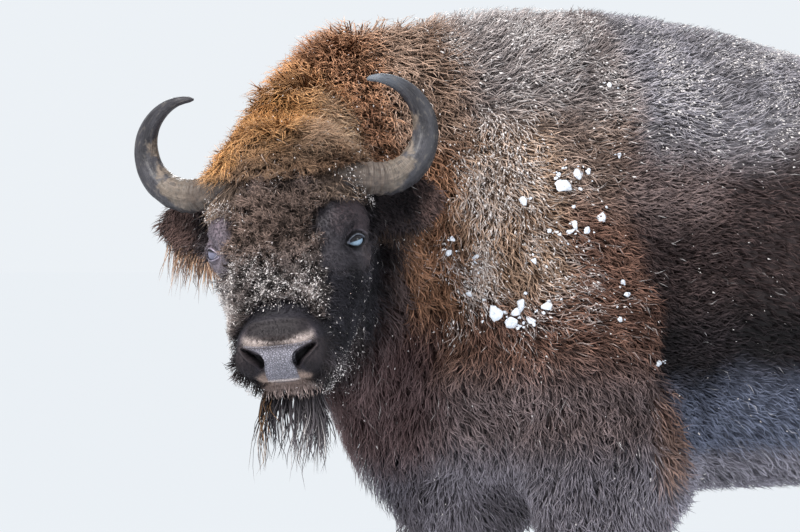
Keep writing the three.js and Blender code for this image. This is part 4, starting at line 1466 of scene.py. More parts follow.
def outwards(points, faces):
    """The faces turned so that the closed shape's volume is positive."""
    a, b, c = (points[faces[:, i]] for i in range(3))
    volume = (a * np.cross(b, c)).sum()
    return faces if volume > 0 else faces[:, ::-1]


# ---- Horns ----
HORN_BASE, HORN_TIP, HORN_BACK = 0.033, 0.0045, -0.06
# for each side: the arc's middle outwards, its lowest point, and its radii across and up
HORN_ARC = {1: (0.197, 0.116, 0.09, 0.104), -1: (0.199, 0.12, 0.11, 0.1)}


def horn_path(t, hand):
    """A horn's middle line in the hanging head's level frame, for the left side.

    One arc of 196 degrees leaves the skull sideways, rises and turns in over the poll, bowing back midway.
    Below t = 0 the root goes straight on inwards.
    """
    middle_out, low, across, up = HORN_ARC[hand]
    angle = np.radians(-98 + 196 * np.maximum(t, 0))
    back = HORN_BACK - 0.055 * np.sin(np.pi * np.clip(1.1 * t, -0.2, 1))
    out = middle_out + across * np.cos(angle) + 0.36 * np.minimum(t, 0)
    return np.stack([back, out, -low - up * (1 + np.sin(angle)) + 0.05 * np.minimum(t, 0)], axis=-1)


def horn_reach(t, around):
    """Distance from the horn's line to its surface: tapering, ringed at the base, ribbed lengthwise."""
    radius = HORN_BASE + (HORN_TIP - HORN_BASE) * np.clip(t, 0, 1) ** 1.7
    radius = radius * np.sqrt(np.clip((1.004 - t) / 0.03, 0.0, 1)) + 0.0003
    wobble = noise(np.stack([t * 40, 0 * t, 0 * t], 1), 1.0, 4) - 0.5
    rings = (0.0016 * np.sin(t * 120 + 7 * wobble) + 0.005 * wobble) * ramp(t, 0.36, 0.05)
    at = [np.cos(around) * 2.6 + 0 * t[:, None], np.sin(around) * 2.6 + 0 * t[:, None],
          t[:, None] * 5 + 0 * around]
    grain = noise(np.stack(at, -1).reshape(-1, 3), 0.5, 12).reshape(len(t), -1) - 0.5
    ribs = grain * 0.0032 * ramp(t, 1.0, 0.7)[:, None]
    reach = radius[:, None] + (rings[:, None] * 0.75 + ribs) * (radius / HORN_BASE)[:, None]
    return reach * (1 + 0.05 * np.cos(2 * around)[None, :])


def horn_colour(lengthwise, inner, outer, hand):
    """Streaked grey horn, worn to beige towards the root and on its inner side, with a shaded tip."""
    cell = np.stack([lengthwise, 0.11 * inner, 0.11 * outer], 1)
    scale = 0.55 * noise(cell, 0.085, 32) + 0.3 * noise(cell, 0.03, 33) + 0.15 * noise(cell, 0.012, 34)
    want = 0.3 * inner * ramp(lengthwise, 0.75, 0.5) + 0.36 * ramp(lengthwise, 0.46, 0.1)
    want = want - 0.25 * ramp(lengthwise, 0.55, 0.75)
    return painted(
        between((32, 31, 35), (62, 61, 66), noise(cell * [1, 2, 2], 0.12, 31)),
        (0.9 * ramp(scale + want, 0.64, 0.78), between((70, 63, 56), (116, 104, 94), noise(cell, 0.02, 35))),
        (0.8 * ramp(lengthwise, 0.72, 0.97), linear(92, 98, 106) if hand > 0 else linear(36, 35, 40)),
        (0.6 * ramp(lengthwise, 0.1, 0.0), linear(62, 52, 48)),
    )


def horn(hand):
    """A tube along the horn's path: points, faces, colour, roughness, and places round and along it."""
    rows, columns = 150, 56
    t, around = np.linspace(-0.22, 1.0, rows), circle(columns)
    path = horn_path(t, hand)
    travel = unit(np.gradient(path, axis=0))
    side = unit(np.cross(travel, [1.0, 0, 0]))
    front = np.cross(side, travel)
    inner, outer = np.cos(around), np.sin(around)
    way = inner[None, :, None] * side[:, None] + outer[None, :, None] * front[:, None]
    local = (path[:, None] + horn_reach(t, around)[..., None] * way).reshape(-1, 3) * [1, hand, 1]
    points, faces = closed_grid(from_level(local), rows, columns)
    lengthwise = np.append(np.repeat(t, columns), [t[0], t[-1]])
    colour = horn_colour(lengthwise, round_sections(inner, rows), round_sections(outer, rows), hand)
    rough = np.clip(ramp(lengthwise, 0.45, 0.05), 0, 1)
    return points, faces, colour, rough, np.stack([round_sections(around / (2 * np.pi), rows), lengthwise], 1)


# ---- Ears ----
EAR_ROOT, EAR_TIP = np.array([-0.112, 0.128, -0.058]), np.array([-0.15, 0.292, -0.072])


def ear_leaf(hand):
    """A drooping leaf, hollow to the front, its sections crescents that close at the tip.

    At share t along and angle a round, the point is line(t) + droop * reach * cos a + front * thin * sin a,
    with the front face pressed in over the middle.
    """
    rows, columns = 60, 40
    t = np.linspace(0, 1, rows)
    line = EAR_ROOT + (EAR_TIP - EAR_ROOT) * t[:, None]
    line = to_level(from_head(line * [1, hand, 1]))
    travel = unit(np.gradient(line, axis=0))
    droop = np.array([0, 0, 1.0])
    front = unit(np.cross(travel, droop) * hand)
    front = front * np.where(front[:, :1] > 0, 1, -1)
    around = circle(columns)
    reach = 0.012 + 0.044 * np.sin(np.pi * np.clip(0.1 + 0.86 * t, 0, 1)) ** 0.8
    reach = reach * np.sqrt(np.clip((1.003 - t) / 0.2, 0, 1)) + 0.0004
    thin = 0.006 + 0.01 * ramp(t, 0.5, 0.0)
    cup = 0.02 * np.sin(np.pi * np.clip(t * 1.05, 0, 1)) ** 0.7
    across, deep = np.cos(around), np.sin(around)
    depth = thin[:, None] * deep - cup[:, None] * (1 - across[None, :] ** 2) * np.ones_like(deep)[None, :]
    local = (line[:, None] + droop * (reach[:, None] * across[None, :] + 0.012 * t[:, None])[..., None]
             + front[:, None] * depth[..., None])
    points, faces = closed_grid(from_level(local.reshape(-1, 3)), rows, columns)
    return points, faces, round_sections(across, rows), round_sections(deep, rows)


# ---- Hooves ----


def claw(node, height):
    """One claw of a hoof: level sections that lean forward, a rounded toe and a bulbed heel."""
    low, high = corners(node)
    pair = middle(node.replace("outer", "inner") if "outer" in node else node.replace("inner", "outer"))
    inner = 1.0 if pair[1] > (low[1] + high[1]) / 2 else -1.0
    rows, columns = 26, 48
    t = np.linspace(0, 1, rows)
    around = circle(columns)
    long_half = (high[0] - low[0]) / 2 * (0.8 - 0.14 * t)
    wide_half = (high[1] - low[1]) / 2 * (1.0 - 0.12 * t)
    centre_x = (high[0] - long_half[0] - 0.001) - 0.03 * t
    bulge = 1 + 0.05 * np.sin(np.pi * t)
    c, s_ = np.cos(around), np.sin(around)
    power = 0.82
    x = centre_x[:, None] + (long_half * bulge)[:, None] * (np.sign(c) * np.abs(c) ** power)[None, :]
    flat = np.where(s_ * inner > 0, 0.86, 1.0)
    toe = 1 - 0.3 * ramp(c, 0.3, 1.0)
    across = np.sign(s_) * np.abs(s_) ** power * flat * toe
    y = (low[1] + high[1]) / 2 + wide_half[:, None] * across[None, :]
    rings = 0.0006 * np.sin(t * 60)[:, None] * ramp(t, 0.02, 0.2)[:, None]
    x = x + rings * c[None, :]
    y = y + rings * s_[None, :]
    z = (t * height)[:, None] + 0 * around[None, :]
    z = z - 0.01 * t[:, None] * ramp(-c, 0.2, 1.0)[None, :]
    return closed_grid(np.stack([x, y, z], -1).reshape(-1, 3), rows, columns)


def dewclaw(node):
    """A small blunt horn behind the pastern: an egg with its point down."""
    low, high = corners(node)
    rows, columns = 20, 24
    polar = np.linspace(0.01, np.pi - 0.01, rows)[:, None]
    narrow = 0.86 + 0.14 * np.cos(polar)
    points = lathed(np.sin(polar) * narrow, np.cos(polar), columns)
    return closed_grid((low + high) / 2 + (high - low) / 2 * points, rows, columns)


# ---- Coats of the single pieces ----


def plain_coat(count, dark, light, **sizes):
    """A coat of one kind of hair for count locks: sizes in metres, colours in sRGB."""
    coat = {key: np.full(count, float(value)) for key, value in {"root": 0.7, "lump": 0.2, **sizes}.items()}
    coat["dark"] = np.tile(linear(*dark), (count, 1))
    coat["light"] = np.tile(linear(*light), (count, 1))
    return coat


def hanging(roots, middle_point, rng, spread=0.25):
    """Directions for hair that hangs: outwards from a middle, level, and down with a little play."""
    out = (roots - middle_point) * [1, 1, 0] + rng.normal(0, 0.01, roots.shape) * [1, 1, 0]
    out = unit(out)
    down = unit(np.array([0, 0, -1.0]) + out * (spread * rng.random((len(roots), 1)))
                + rng.normal(0, 0.07, roots.shape))
    return unit(laid_flat(out, down)), down


def beard(count, material):
    """Wet, separate, curved strands that hang from the chin and the underside of the jaw."""
    rng = np.random.default_rng(71)
    skin = skin_arrays()
    s = Spot(centres_of(skin))
    below = s.on_head * band(s.ahead, -0.06, 0.1, 0.02) * ramp(s.across, 0.075, 0.055)
    below = below * ramp(s.down, 0.285, 0.305)
    roots, _ = spread_roots(skin, below, count, rng)
    out, down = hanging(roots, from_level([0.03, 0, 0.3]), rng)
    ahead, s_left, _ = to_level(roots).T
    front = ramp(ahead, -0.06, 0.06)
    coat = plain_coat(count, (26, 24, 29), (98, 92, 96), length=1, width=0.0044, depth=0.01, curl=0.01,
                      frost=0.25)
    coat["length"] = 0.055 + 0.1 * front * rng.random(count) ** 0.6
    golden = (rng.random(count) < 0.5) & (s_left < -0.035)
    coat["light"][golden] = linear(150, 116, 82)
    coat["dark"][golden] = linear(84, 62, 44)
    return hair_object("beard", roots, out, down, coat, material, "beard_hair", rng, rings=5, clump=0.95,
                       clump_size=0.03)


def ear_arrays(hand):
    """The ear's own points, normals and faces, as spread_roots takes them, from its mesh."""
    mesh = bpy.data.objects[f"ear_leaf_{HANDS[hand]}"].data
    return *mesh_arrays(mesh), mesh_faces(mesh, 3)[:, [0, 1, 2, 2]]


def ear_coat(hand, count, material):
    """Hair of an ear: short over the leaf and dark beside the head, with a fringe."""
    rng = np.random.default_rng(81 + hand)
    skin = ear_arrays(hand)
    root, tip = from_head(np.stack([EAR_ROOT, EAR_TIP]) * [1, hand, 1])
    roots, normals = spread_roots(skin, np.ones(len(skin[2])), count, rng)
    along = unit(tip - root)
    lie = along * 0.6 + DOWN * 0.7 + rng.normal(0, 0.25, roots.shape)
    lie = unit(laid_flat(lie, normals))
    coat = plain_coat(count, (50, 40, 40), (122, 98, 92), length=0.032, width=0.0042, depth=0.013,
                      curl=0.005, frost=0.1)
    share = ((roots - root) @ along) / np.linalg.norm(tip - root)
    deep = ramp(share, 0.62, 0.4) if hand < 0 else ramp(share, 0.85, 0.55)
    for key, shade in (("dark", linear(18, 17, 21)), ("light", linear(46, 42, 47))):
        coat[key] += 0.9 * deep[:, None] * (shade - coat[key])
    hair_object(f"ear_coat_{HANDS[hand]}", roots, normals, lie, coat, material, "face_coat", rng,
                clump_size=0.012)
    edge = to_level(roots)[:, 2] - np.interp(share, [0, 1], to_level(np.stack([root, tip]))[:, 2])
    chosen = rng.permutation(np.flatnonzero(edge > 0.03))[: count // 5]
    ear_fringe(hand, roots[chosen], root, tip, rng, material)


def ear_fringe(hand, roots, root, tip, rng, material):
    """Long hair that hangs from an ear's lower edge: golden in part on the right, dark on the left."""
    out, down = hanging(roots, (root + tip) / 2 - AHEAD * 0.03, rng, 0.3)
    down = unit(down - unit(tip - root) * 0.1)
    n = len(roots)
    coat = plain_coat(n, (70, 54, 48), (150, 120, 104), length=0.075, width=0.004, depth=0.01, curl=0.006,
                      frost=0.1)
    golden = (rng.random(n) < 0.35) & (hand < 0)
    coat["light"][golden] = linear(204, 172, 148)
    coat["dark"][golden] = linear(132, 102, 80)
    coat["length"] = (0.05 + 0.055 * rng.random(n)) * (1.0 if hand < 0 else 0.45)
    if hand > 0:
        coat["dark"] *= 0.3
        coat["light"] *= 0.24
    hair_object(f"ear_fringe_{HANDS[hand]}", roots, out, down, coat, material, "mane", rng, rings=4,
                clump=0.75, clump_size=0.02)


TUFT_SHARE = (0.62, 0.62, 0.9)  # the core's size against the solid
TUFT_RISE, TUFT_LAP = 0.012, 0.05  # how far the core is raised, and reaches up into the tail's skin


def tuft_core():
    """The tail tuft's solid drawn in towards its own line, as something dark for the hair to cover."""
    mesh = welded("tuft_core", ["tail_tuft"])
    points, faces = mesh_arrays(mesh)[0], mesh_faces(mesh, 3)
    bpy.data.meshes.remove(mesh)
    return TAIL + (points - TAIL) * TUFT_SHARE + [0, 0, TUFT_RISE], faces


def tail_tuft(count, material):
    """Long wavy hair shingled down the end of the tail."""
    rng = np.random.default_rng(91)
    points, faces = tuft_core()
    low, high = points[:, 2].min(), points[:, 2].max()
    points[:, 2] = low + (points[:, 2] - low) * (1 + TUFT_LAP / (high - low))
    core = new_piece("tail_core", points, faces, material, "mane",
                     np.tile(linear(38, 27, 24), (len(points), 1)))
    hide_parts("tail_tuft")
    normals = point_normals(points, faces)
    roots, normals = spread_roots((points, normals, faces[:, [0, 1, 2, 2]]), np.ones(len(faces)), count, rng)
    out, down = hanging(roots, TAIL, rng, 0.05)
    coat = plain_coat(count, (44, 30, 26), (112, 82, 66), length=0.13, width=0.0068, depth=0.014, curl=0.007,
                      frost=0.04)
    low = float(corners("tail_tuft")[0][2])
    coat["length"] = np.minimum(0.09 + 0.09 * rng.random(count), np.maximum(roots[:, 2] - low + 0.012, 0.03))
    return hair_object("tail_tuft_hair", roots, out, down, coat, material, "mane", rng, rings=4, clump=0.7,
                       clump_size=0.035)


# Snow that clings to the left side: each lump's x and z, half its length and half its height, in millimetres.
SNOW = [
    (456, 1463, 19, 12), (422, 1487, 13, 10), (464, 1485, 7, 5), (400, 1491, 5, 5), (539, 1429, 9, 10),
    (379, 1399, 10, 9), (440, 1382, 9, 10), (450, 1369, 10, 5), (414, 1371, 8, 7), (494, 1369, 5, 5),
    (473, 1362, 4, 4), (603, 1203, 15, 17), (551, 1220, 10, 13), (561, 1203, 10, 9), (570, 1184, 15, 11),
    (527, 1186, 12, 7), (497, 1212, 11, 9), (322, 1524, 4, 8), (308, 1668, 5, 6), (261, 1094, 8, 6),
    (681, 1356, 5, 5), (690, 1328, 6, 6), (629, 1317, 10, 5), (525, 1309, 8, 6), (336, 1236, 7, 5),
    (365, 1180, 7, 5), (343, 1262, 6, 6), (640, 1240, 7, 6),
]
CRUMBS_PER_METRE = 260


def snow_places(rng):
    """The lumps' places and sizes in metres, and after them those of their crumbs."""
    large = [tuple(value / 1000 for value in row) for row in SNOW]
    crumbs = []
    for x, z, long, _ in large:
        for _ in range(1 + int(long * CRUMBS_PER_METRE)):
            away = rng.normal(0, 0.8, 2) * (0.008 + long)
            small = (0.1 + 0.2 * rng.random()) * min(long, 0.012) + 0.001
            crumbs.append((x + away[0], z + away[1], small, small * (0.6 + 0.5 * rng.random())))
    return large + crumbs


def snow_chunk(ball, rng):
    """The ball's points, pushed about by noise and cut flat."""
    chunk = ball * (0.8 + 0.7 * noise(ball + rng.random(3) * 50, 0.8, 13))[:, None]
    for cut in unit(rng.normal(0, 1, (9, 3))):
        beyond = np.maximum(chunk @ cut - (0.55 + 0.35 * rng.random()), 0)
        chunk = chunk - 0.9 * beyond[:, None] * cut
    return chunk * (0.92 + 0.22 * noise(ball + rng.random(3) * 50, 0.25, 14))[:, None]


def snow_lumps(grain):
    """Lumps of snow and their crumbs, each flattened against the coat's surface and turned by chance."""
    rng = np.random.default_rng(101)
    points, normals, _ = skin_arrays()
    depth = coat_at(points)["depth"]
    left = points[:, 1] > MID_Y
    rows, columns = 14, 20
    polar = np.linspace(0.02, np.pi - 0.02, rows)[:, None]
    ball = lathed(np.sin(polar), np.cos(polar), columns)[:, [0, 2, 1]]
    chunks = []
    for x, z, long, high in snow_places(rng):
        nearest = np.argmin(np.hypot(points[:, 0] - x, points[:, 2] - z) + 10 * ~left)
        out = normals[nearest]
        centre = np.array([x, points[nearest, 1], z]) + out * (depth[nearest] * 0.95)
        flat = unit(np.array([1.0, 0, 0]) - out * out[0])
        up = np.cross(out, flat)
        tilt = rng.normal(0, 0.4)
        c, s = math.cos(tilt), math.sin(tilt)
        axes = np.stack([c * flat + s * up, 0.55 * out, c * up - s * flat])
        reach = snow_chunk(ball, rng) * grain * np.array([long, min(long, high), high])
        chunks.append(closed_grid(centre + reach @ axes, rows, columns))
    return merged(chunks)


# ---- Stage ----


def aimed(obj, place, target):
    """Sets an object down at a place, looking at a target."""
    obj.location = place
    obj.rotation_euler = (Vector(target) - Vector(place)).to_track_quat("-Z", "Y").to_euler()


FLOOR_RADIUS, FLOOR_SINK = 900, 0.0005
FLOOR_SHADE, SKY_SHADE = (0.8, 0.83, 0.87, 1), (0.9, 0.95, 1.0, 1)
FLOOR_GLOW = 0.93  # share of its own pale colour; the rest takes the object's shadow
SENSOR, FAR_END = 36, 2000
CAMERA_AZIMUTH, CAMERA_DISTANCE, CAMERA_HEIGHT = math.radians(155), 9.0, 1.3
FOCAL = 5.4875  # focal length in frame widths
EYES_IN_FRAME = -0.14  # where the eyes' middle stands across the frame, in frame widths from its centre


def make_floor(colour):
    """A wide pale disc: straight on it shows its own colour, darkened a little where the object shades it."""
    rim = circle(96)
    disc = np.stack([np.cos(rim) * FLOOR_RADIUS, np.sin(rim) * FLOOR_RADIUS, 0 * rim - FLOOR_SINK], 1)
    mesh = bpy.data.meshes.new("floor")
    mesh.from_pydata(disc, [], [tuple(range(len(rim)))])
    floor = new_object("floor", mesh)
    f = Finish("floor", roughness=0.9, specular=0.1)
    f.set(f.shader, {"Base Color": FLOOR_SHADE})
    shown = f.add("ShaderNodeEmission", Color=(*colour, 1), Strength=1.0)
    f.swap(f.math("MULTIPLY", f.straight_ray(), FLOOR_GLOW), f.shader, shown, "Material Output")
    mesh.materials.append(f.material)


def make_sky(colour, strength):
    """Light from all round, and behind the object the floor's colour."""
    world = bpy.context.scene.world = bpy.data.worlds.new("sky")
    sky = NodeTree(world)
    light = sky.set(sky.nodes["Background"], {"Color": SKY_SHADE, "Strength": strength})
    shown = sky.add("ShaderNodeBackground", Color=(*colour, 1))
    sky.swap(sky.straight_ray(), light, shown, "World Output")


def make_lamps(power):
    """Three soft discs of light: the key from the head's left, a fill and a light from behind."""
    for name, size, share, place, target, colour in (
        ("key", 3.5, 1, (4.6, 2.2, 5.2), (0.6, 0.1, 1.2), (1.0, 0.97, 0.93)),
        ("fill", 4.0, 0.3, (-2.5, 6.5, 3.2), (0.0, 0.0, 1.1), (0.93, 0.96, 1.0)),
        ("back", 3.0, 0.35, (-1.5, -5.5, 4.0), (0.2, 0.0, 1.2), (0.95, 0.97, 1.0)),
    ):
        lamp = bpy.data.lights.new(name, "AREA")
        lamp.shape, lamp.size, lamp.energy, lamp.color = "DISK", size, power * share, colour
        aimed(new_object(name, lamp), place, target)


def make_camera():
    """The camera, level and beside the head's end, with the eyes held at their place across the frame."""
    lens = bpy.data.cameras.new("camera")
    camera = new_object("camera", lens)
    back = np.array([math.sin(CAMERA_AZIMUTH), -math.cos(CAMERA_AZIMUTH), 0.0])
    right = np.array([-back[1], back[0], 0.0])
    place = EYES_MIDDLE + back * CAMERA_DISTANCE - right * (EYES_IN_FRAME / FOCAL * CAMERA_DISTANCE)
    place[2] = CAMERA_HEIGHT
    aimed(camera, place, place - back)
    lens.sensor_width, lens.lens, lens.clip_end = SENSOR, SENSOR * FOCAL, FAR_END
    bpy.context.scene.camera = camera


# ---- The add-on ----


class BisonBody(bpy.types.PropertyGroup):
    """Sizes of what is not hair."""

    hoof_height: FloatProperty(name="Hoof height", description="From the floor to the coronet", unit="LENGTH",
                               default=float(corners("hoof_front_left_outer")[1][2]))


class BisonCoat(bpy.types.PropertyGroup):
    """How full the winter coat is."""

    fullness: FloatProperty(name="Fullness", description="Share of the coat's locks that are made",
                            default=1.0, min=0.05, max=1.2)
    snow: FloatProperty(name="Snow", description="Size of the snow lumps against life", default=1.0, min=0.1,
                        max=3)
    seed: IntProperty(name="Seed", description="Another number lays the locks another way", default=SKIN_SEED)


class BisonStage(bpy.types.PropertyGroup):
    """The light and the floor."""

    floor_colour: FloatVectorProperty(name="Floor", description="Colour of floor and background",
                                      subtype="COLOR", default=(0.84, 0.88, 0.92))
    key_power: FloatProperty(name="Key light", description="Power of the main soft lamp", default=640.0,
                             unit="POWER")
    sky: FloatProperty(name="Sky", description="Strength of the light from all round", default=0.95)


class MakeSkin(bpy.types.Operator):
    """Skin: one surface for all the flesh, with the face sculpted"""

    bl_idname = "bison.skin"
    bl_label = "Skin"

    def execute(self, context):
        mesh = skin_surface()
        skin = new_object("skin", mesh)
        mesh.polygons.foreach_set("use_smooth", np.ones(len(mesh.polygons), bool))
        mesh.materials.append(skin_material())
        paint_skin(mesh)
        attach(skin, "root")
        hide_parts(*FLESH)
        return {"FINISHED"}


class MakeEyes(bpy.types.Operator):
    """Eyes: wet balls with a broad pupil, set behind the lids"""

    bl_idname = "bison.eyes"
    bl_label = "Eyes"

    def execute(self, context):
        finish = eye_material()
        for hand, name in HANDS.items():
            points, faces, colour = eyeball(hand)
            triangles = np.concatenate([faces[:, [0, 1, 2]], faces[:, [0, 2, 3]]])
            eye = new_piece(f"eyeball_{name}", points, outwards(points, triangles), finish, "eye", colour)
            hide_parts(f"eye_{name}")
        return {"FINISHED"}


def unwrapped_round(place, faces):
    """Places of the faces' corners, with those of a face that crosses the seam carried past 1."""
    uv = place[faces]
    across = uv[..., 0].max(1) - uv[..., 0].min(1) > 0.5
    uv[..., 0] += across[:, None] * (uv[..., 0] < 0.5)
    return uv.reshape(-1, 2)


class MakeHorns(bpy.types.Operator):
    """Horns: ringed at the base, fibrous and polished to the tip"""

    bl_idname = "bison.horns"
    bl_label = "Horns"

    def execute(self, context):
        finish = horn_material()
        for hand, name in HANDS.items():
            points, faces, colour, rough, along = horn(hand)
            piece = new_piece(f"horn_sheath_{name}", points, faces, finish, "horn_sheath", colour)
            set_attribute(piece.data, "Rough", rough)
            set_uv(piece.data, "Along", unwrapped_round(along, faces))
            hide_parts(f"horn_{name}")
        return {"FINISHED"}


class MakeEars(bpy.types.Operator):
    """Ears: cupped leaves with short hair and a hanging fringe"""

    bl_idname = "bison.ears"
    bl_label = "Ears"

    def execute(self, context):
        finish, hair = skin_material(), bpy.data.materials["hair"]
        finish.name = "ear_skin"
        for hand, name in HANDS.items():
            points, faces, low, face = ear_leaf(hand)
            colour = between((34, 27, 26), (74, 60, 58), ramp(face, 0.0, 0.6) * ramp(np.abs(low), 0.9, 0.6))
            leaf = new_piece(f"ear_leaf_{name}", points, faces, finish, "face_coat", colour)
            for key in ("Pad", "Wet"):
                set_attribute(leaf.data, key, np.zeros(len(points)))
            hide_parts(f"ear_{name}")
            ear_coat(hand, round(2400 * context.scene.bison_coat.fullness), hair)
        return {"FINISHED"}


class MakeHooves(bpy.types.Operator):
    """Hooves and dewclaws: ringed claws that stand on the floor"""

    bl_idname = "bison.hooves"
    bl_label = "Hooves"

    def execute(self, context):
        finish = hoof_material()
        height = context.scene.bison_body.hoof_height
        for leg in LEGS:
            for part in ("outer", "inner"):
                points, faces = claw(f"hoof_{leg}_{part}", height)
                piece = new_piece(f"claw_{leg}_{part}", points, faces, finish, "hoof_horn")
                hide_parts(f"hoof_{leg}_{part}")
                points, faces = dewclaw(f"dewclaw_{leg}_{part}")
                piece = new_piece(f"spur_{leg}_{part}", points, faces, finish, "hoof_horn")
                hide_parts(f"dewclaw_{leg}_{part}")
        return {"FINISHED"}


# Where one piece of the coat ends and the next begins: along the body, up it, and down from the eyes
NECK_X, SHOULDER_X, THIGH_X = 0.62, 0.08, -0.56
HUMP_Z, THROAT_Z, LEG_Z, CHEST_FOOT_Z = 1.55, 1.25, 0.74, 0.7
POLL_DOWN = -0.15


def on_nape(s):
    """The wool of the neck that shows between the horns."""
    return (s.x > 0.8) * (s.z > 1.44)


def on_wool(s):
    """The forehead's wool, and its ragged edges."""
    return s.on_head * ramp(wool_border(s), -0.012, 0.0) * ramp(s.ahead, 0.02, 0.045) * (s.down > POLL_DOWN)


def on_cheeks(s):
    """The head's sides, outside the forehead's wool and the muzzle."""
    return s.on_head * (s.down > POLL_DOWN) * (on_wool(s) < 0.5) * (muzzle_oval(s) < 0.5)


def neck(s):
    """The neck and chest, up to the head."""
    return (1 - s.on_head) * (s.x > NECK_X)


def trunk(s, front, back, hand):
    """The left (1) or right (-1) half of the body between two cuts."""
    return (s.x <= front) * (s.x > back) * ((s.y > MID_Y) == (hand > 0))


def on_hump(s):
    """The hump above both shoulders."""
    return (s.x <= NECK_X) * (s.x > SHOULDER_X) * (s.z > HUMP_Z)


def shoulder(s, hand):
    """One shoulder, between the hump and the foreleg."""
    return trunk(s, NECK_X, SHOULDER_X, hand) * (s.z <= HUMP_Z) * (s.z > LEG_Z)


def rump(s, hand):
    """One side of the rump, down to the hind leg."""
    return trunk(s, THIGH_X, -np.inf, hand) * (s.z > LEG_Z)


# Coat pieces: name, slot, locks, rings of a lock, clumping and its size, and the part of the skin they cover
COATS = [
    ("coat_forehead", "face_coat", 16500, 2, 0.5, 0.008, on_wool),
    ("coat_poll", "mane", 9000, 3, 0.65, 0.022, lambda s: s.on_head * (s.down <= POLL_DOWN)),
    ("coat_cheeks", "face_coat", 10500, 2, 0.55, 0.012, on_cheeks),
    ("coat_muzzle", "face_coat", 13000, 1, 0.3, 0.006, lambda s: muzzle_oval(s) * (muzzle_oval(s) >= 0.5)),
    ("coat_neck", "mane", 8500, 3, 0.4, 0.02, lambda s: neck(s) * (s.z > THROAT_Z) * (1 - on_nape(s))),
    ("coat_nape", "mane", 9500, 2, 0.45, 0.012, lambda s: (1 - s.on_head) * on_nape(s)),
    ("coat_chest", "mane", 7000, 2, 0.35, 0.02, lambda s: neck(s) * (s.z <= THROAT_Z) * (s.z > CHEST_FOOT_Z)),
    ("coat_hump", "mane", 8500, 2, 0.25, 0.016, on_hump),
    ("coat_shoulder_left", "body_coat", 13500, 2, 0.25, 0.016, lambda s: shoulder(s, 1)),
    ("coat_shoulder_right", "body_coat", 7500, 2, 0.25, 0.016, lambda s: shoulder(s, -1)),
    ("coat_barrel_left", "body_coat", 7800, 2, 0.2, 0.014, lambda s: trunk(s, SHOULDER_X, THIGH_X, 1)),
    ("coat_barrel_right", "body_coat", 5500, 2, 0.2, 0.014, lambda s: trunk(s, SHOULDER_X, THIGH_X, -1)),
    ("coat_rump_left", "body_coat", 4800, 2, 0.2, 0.014, lambda s: rump(s, 1)),
    ("coat_rump_right", "body_coat", 4300, 2, 0.2, 0.014, lambda s: rump(s, -1)),
    ("coat_forelegs", "leg_coat", 4500, 2, 0.25, 0.01, lambda s: (s.x > SHOULDER_X) * (s.z <= LEG_Z)),
    ("coat_hindlegs", "leg_coat", 4200, 2, 0.25, 0.01, lambda s: (s.x <= THIGH_X) * (s.z <= LEG_Z)),
]


class MakeCoat(bpy.types.Operator):
    """Coat: closed locks of hair over the skin, one piece for each region"""

    bl_idname = "bison.coat"
    bl_label = "Coat"

    def execute(self, context):
        settings = context.scene.bison_coat
        hair = hair_material()
        for number, (name, slot, count, rings, clump, clump_size, where) in enumerate(COATS):
            seed = settings.seed + 10 * number
            coat_piece(name, where, round(count * settings.fullness), hair, slot, seed, rings, clump=clump,
                       clump_size=clump_size)
        frost = rime_material()
        for name, where, count, seed, grain in (
            ("rime_head", lambda s: s.on_head, 11000, 301, 0.0007),
            ("rime_body", lambda s: 1 - s.on_head, 17000, 302, 0.001),
        ):
            rime(name, where, round(count * settings.fullness), frost, settings.seed + seed, grain)
        return {"FINISHED"}


class MakeBeard(bpy.types.Operator):
    """Beard: wet strands under the chin"""

    bl_idname = "bison.beard"
    bl_label = "Beard"

    def execute(self, context):
        strands = beard(round(300 * context.scene.bison_coat.fullness), bpy.data.materials["hair"])
        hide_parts("beard")
        return {"FINISHED"}


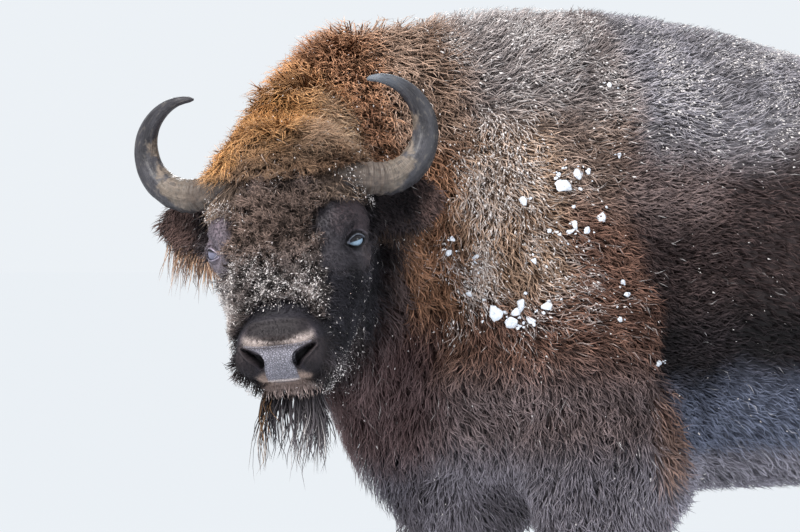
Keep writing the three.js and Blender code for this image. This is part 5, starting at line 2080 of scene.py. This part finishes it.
class MakeTail(bpy.types.Operator):
    """Tail tuft: long hair at the tail's end"""

    bl_idname = "bison.tail"
    bl_label = "Tail tuft"

    def execute(self, context):
        tail_tuft(round(1000 * context.scene.bison_coat.fullness), bpy.data.materials["hair"])
        return {"FINISHED"}


class MakeSnow(bpy.types.Operator):
    """Snow: small lumps that cling to the shoulder and back"""

    bl_idname = "bison.snow"
    bl_label = "Snow"

    def execute(self, context):
        new_piece("snow_lumps", *snow_lumps(context.scene.bison_coat.snow), snow_material(), "frost")
        return {"FINISHED"}


class MakeStage(bpy.types.Operator):
    """Stage: pale floor and background, soft lamps and the camera"""

    bl_idname = "bison.stage"
    bl_label = "Stage"

    def execute(self, context):
        settings = context.scene.bison_stage
        make_floor(settings.floor_colour)
        make_sky(settings.floor_colour, settings.sky)
        make_lamps(settings.key_power)
        make_camera()
        context.scene.view_settings.view_transform = "Standard"
        return {"FINISHED"}


class BisonPanel(bpy.types.Panel):
    """Settings and steps of the bison, in the sidebar"""

    bl_idname = "VIEW3D_PT_bison"
    bl_label = "Bison bull"
    bl_space_type = "VIEW_3D"
    bl_region_type = "UI"
    bl_category = "Bison"

    def draw(self, context):
        layout = self.layout
        for group in ("bison_body", "bison_coat", "bison_stage"):
            settings = getattr(context.scene, group)
            for name in settings.__annotations__:
                layout.prop(settings, name)
        for step in STEPS:
            layout.operator(step.bl_idname)


STEPS = [MakeSkin, MakeEyes, MakeHorns, MakeHooves, MakeCoat, MakeEars, MakeBeard, MakeTail, MakeSnow,
         MakeStage]
GROUPS = {"bison_body": BisonBody, "bison_coat": BisonCoat, "bison_stage": BisonStage}


def register():
    """Registers the settings, the operators and the panel."""
    for cls in [*GROUPS.values(), *STEPS, BisonPanel]:
        bpy.utils.register_class(cls)
    for name, group in GROUPS.items():
        setattr(bpy.types.Scene, name, PointerProperty(type=group))


def unregister():
    """Takes them away again."""
    for name in GROUPS:
        delattr(bpy.types.Scene, name)
    for cls in reversed([*GROUPS.values(), *STEPS, BisonPanel]):
        bpy.utils.unregister_class(cls)


def main():
    """Makes the whole model step by step."""
    register()
    for step in STEPS:
        group, name = step.bl_idname.split(".")
        getattr(getattr(bpy.ops, group), name)()


if __name__ == "__main__":
    main()
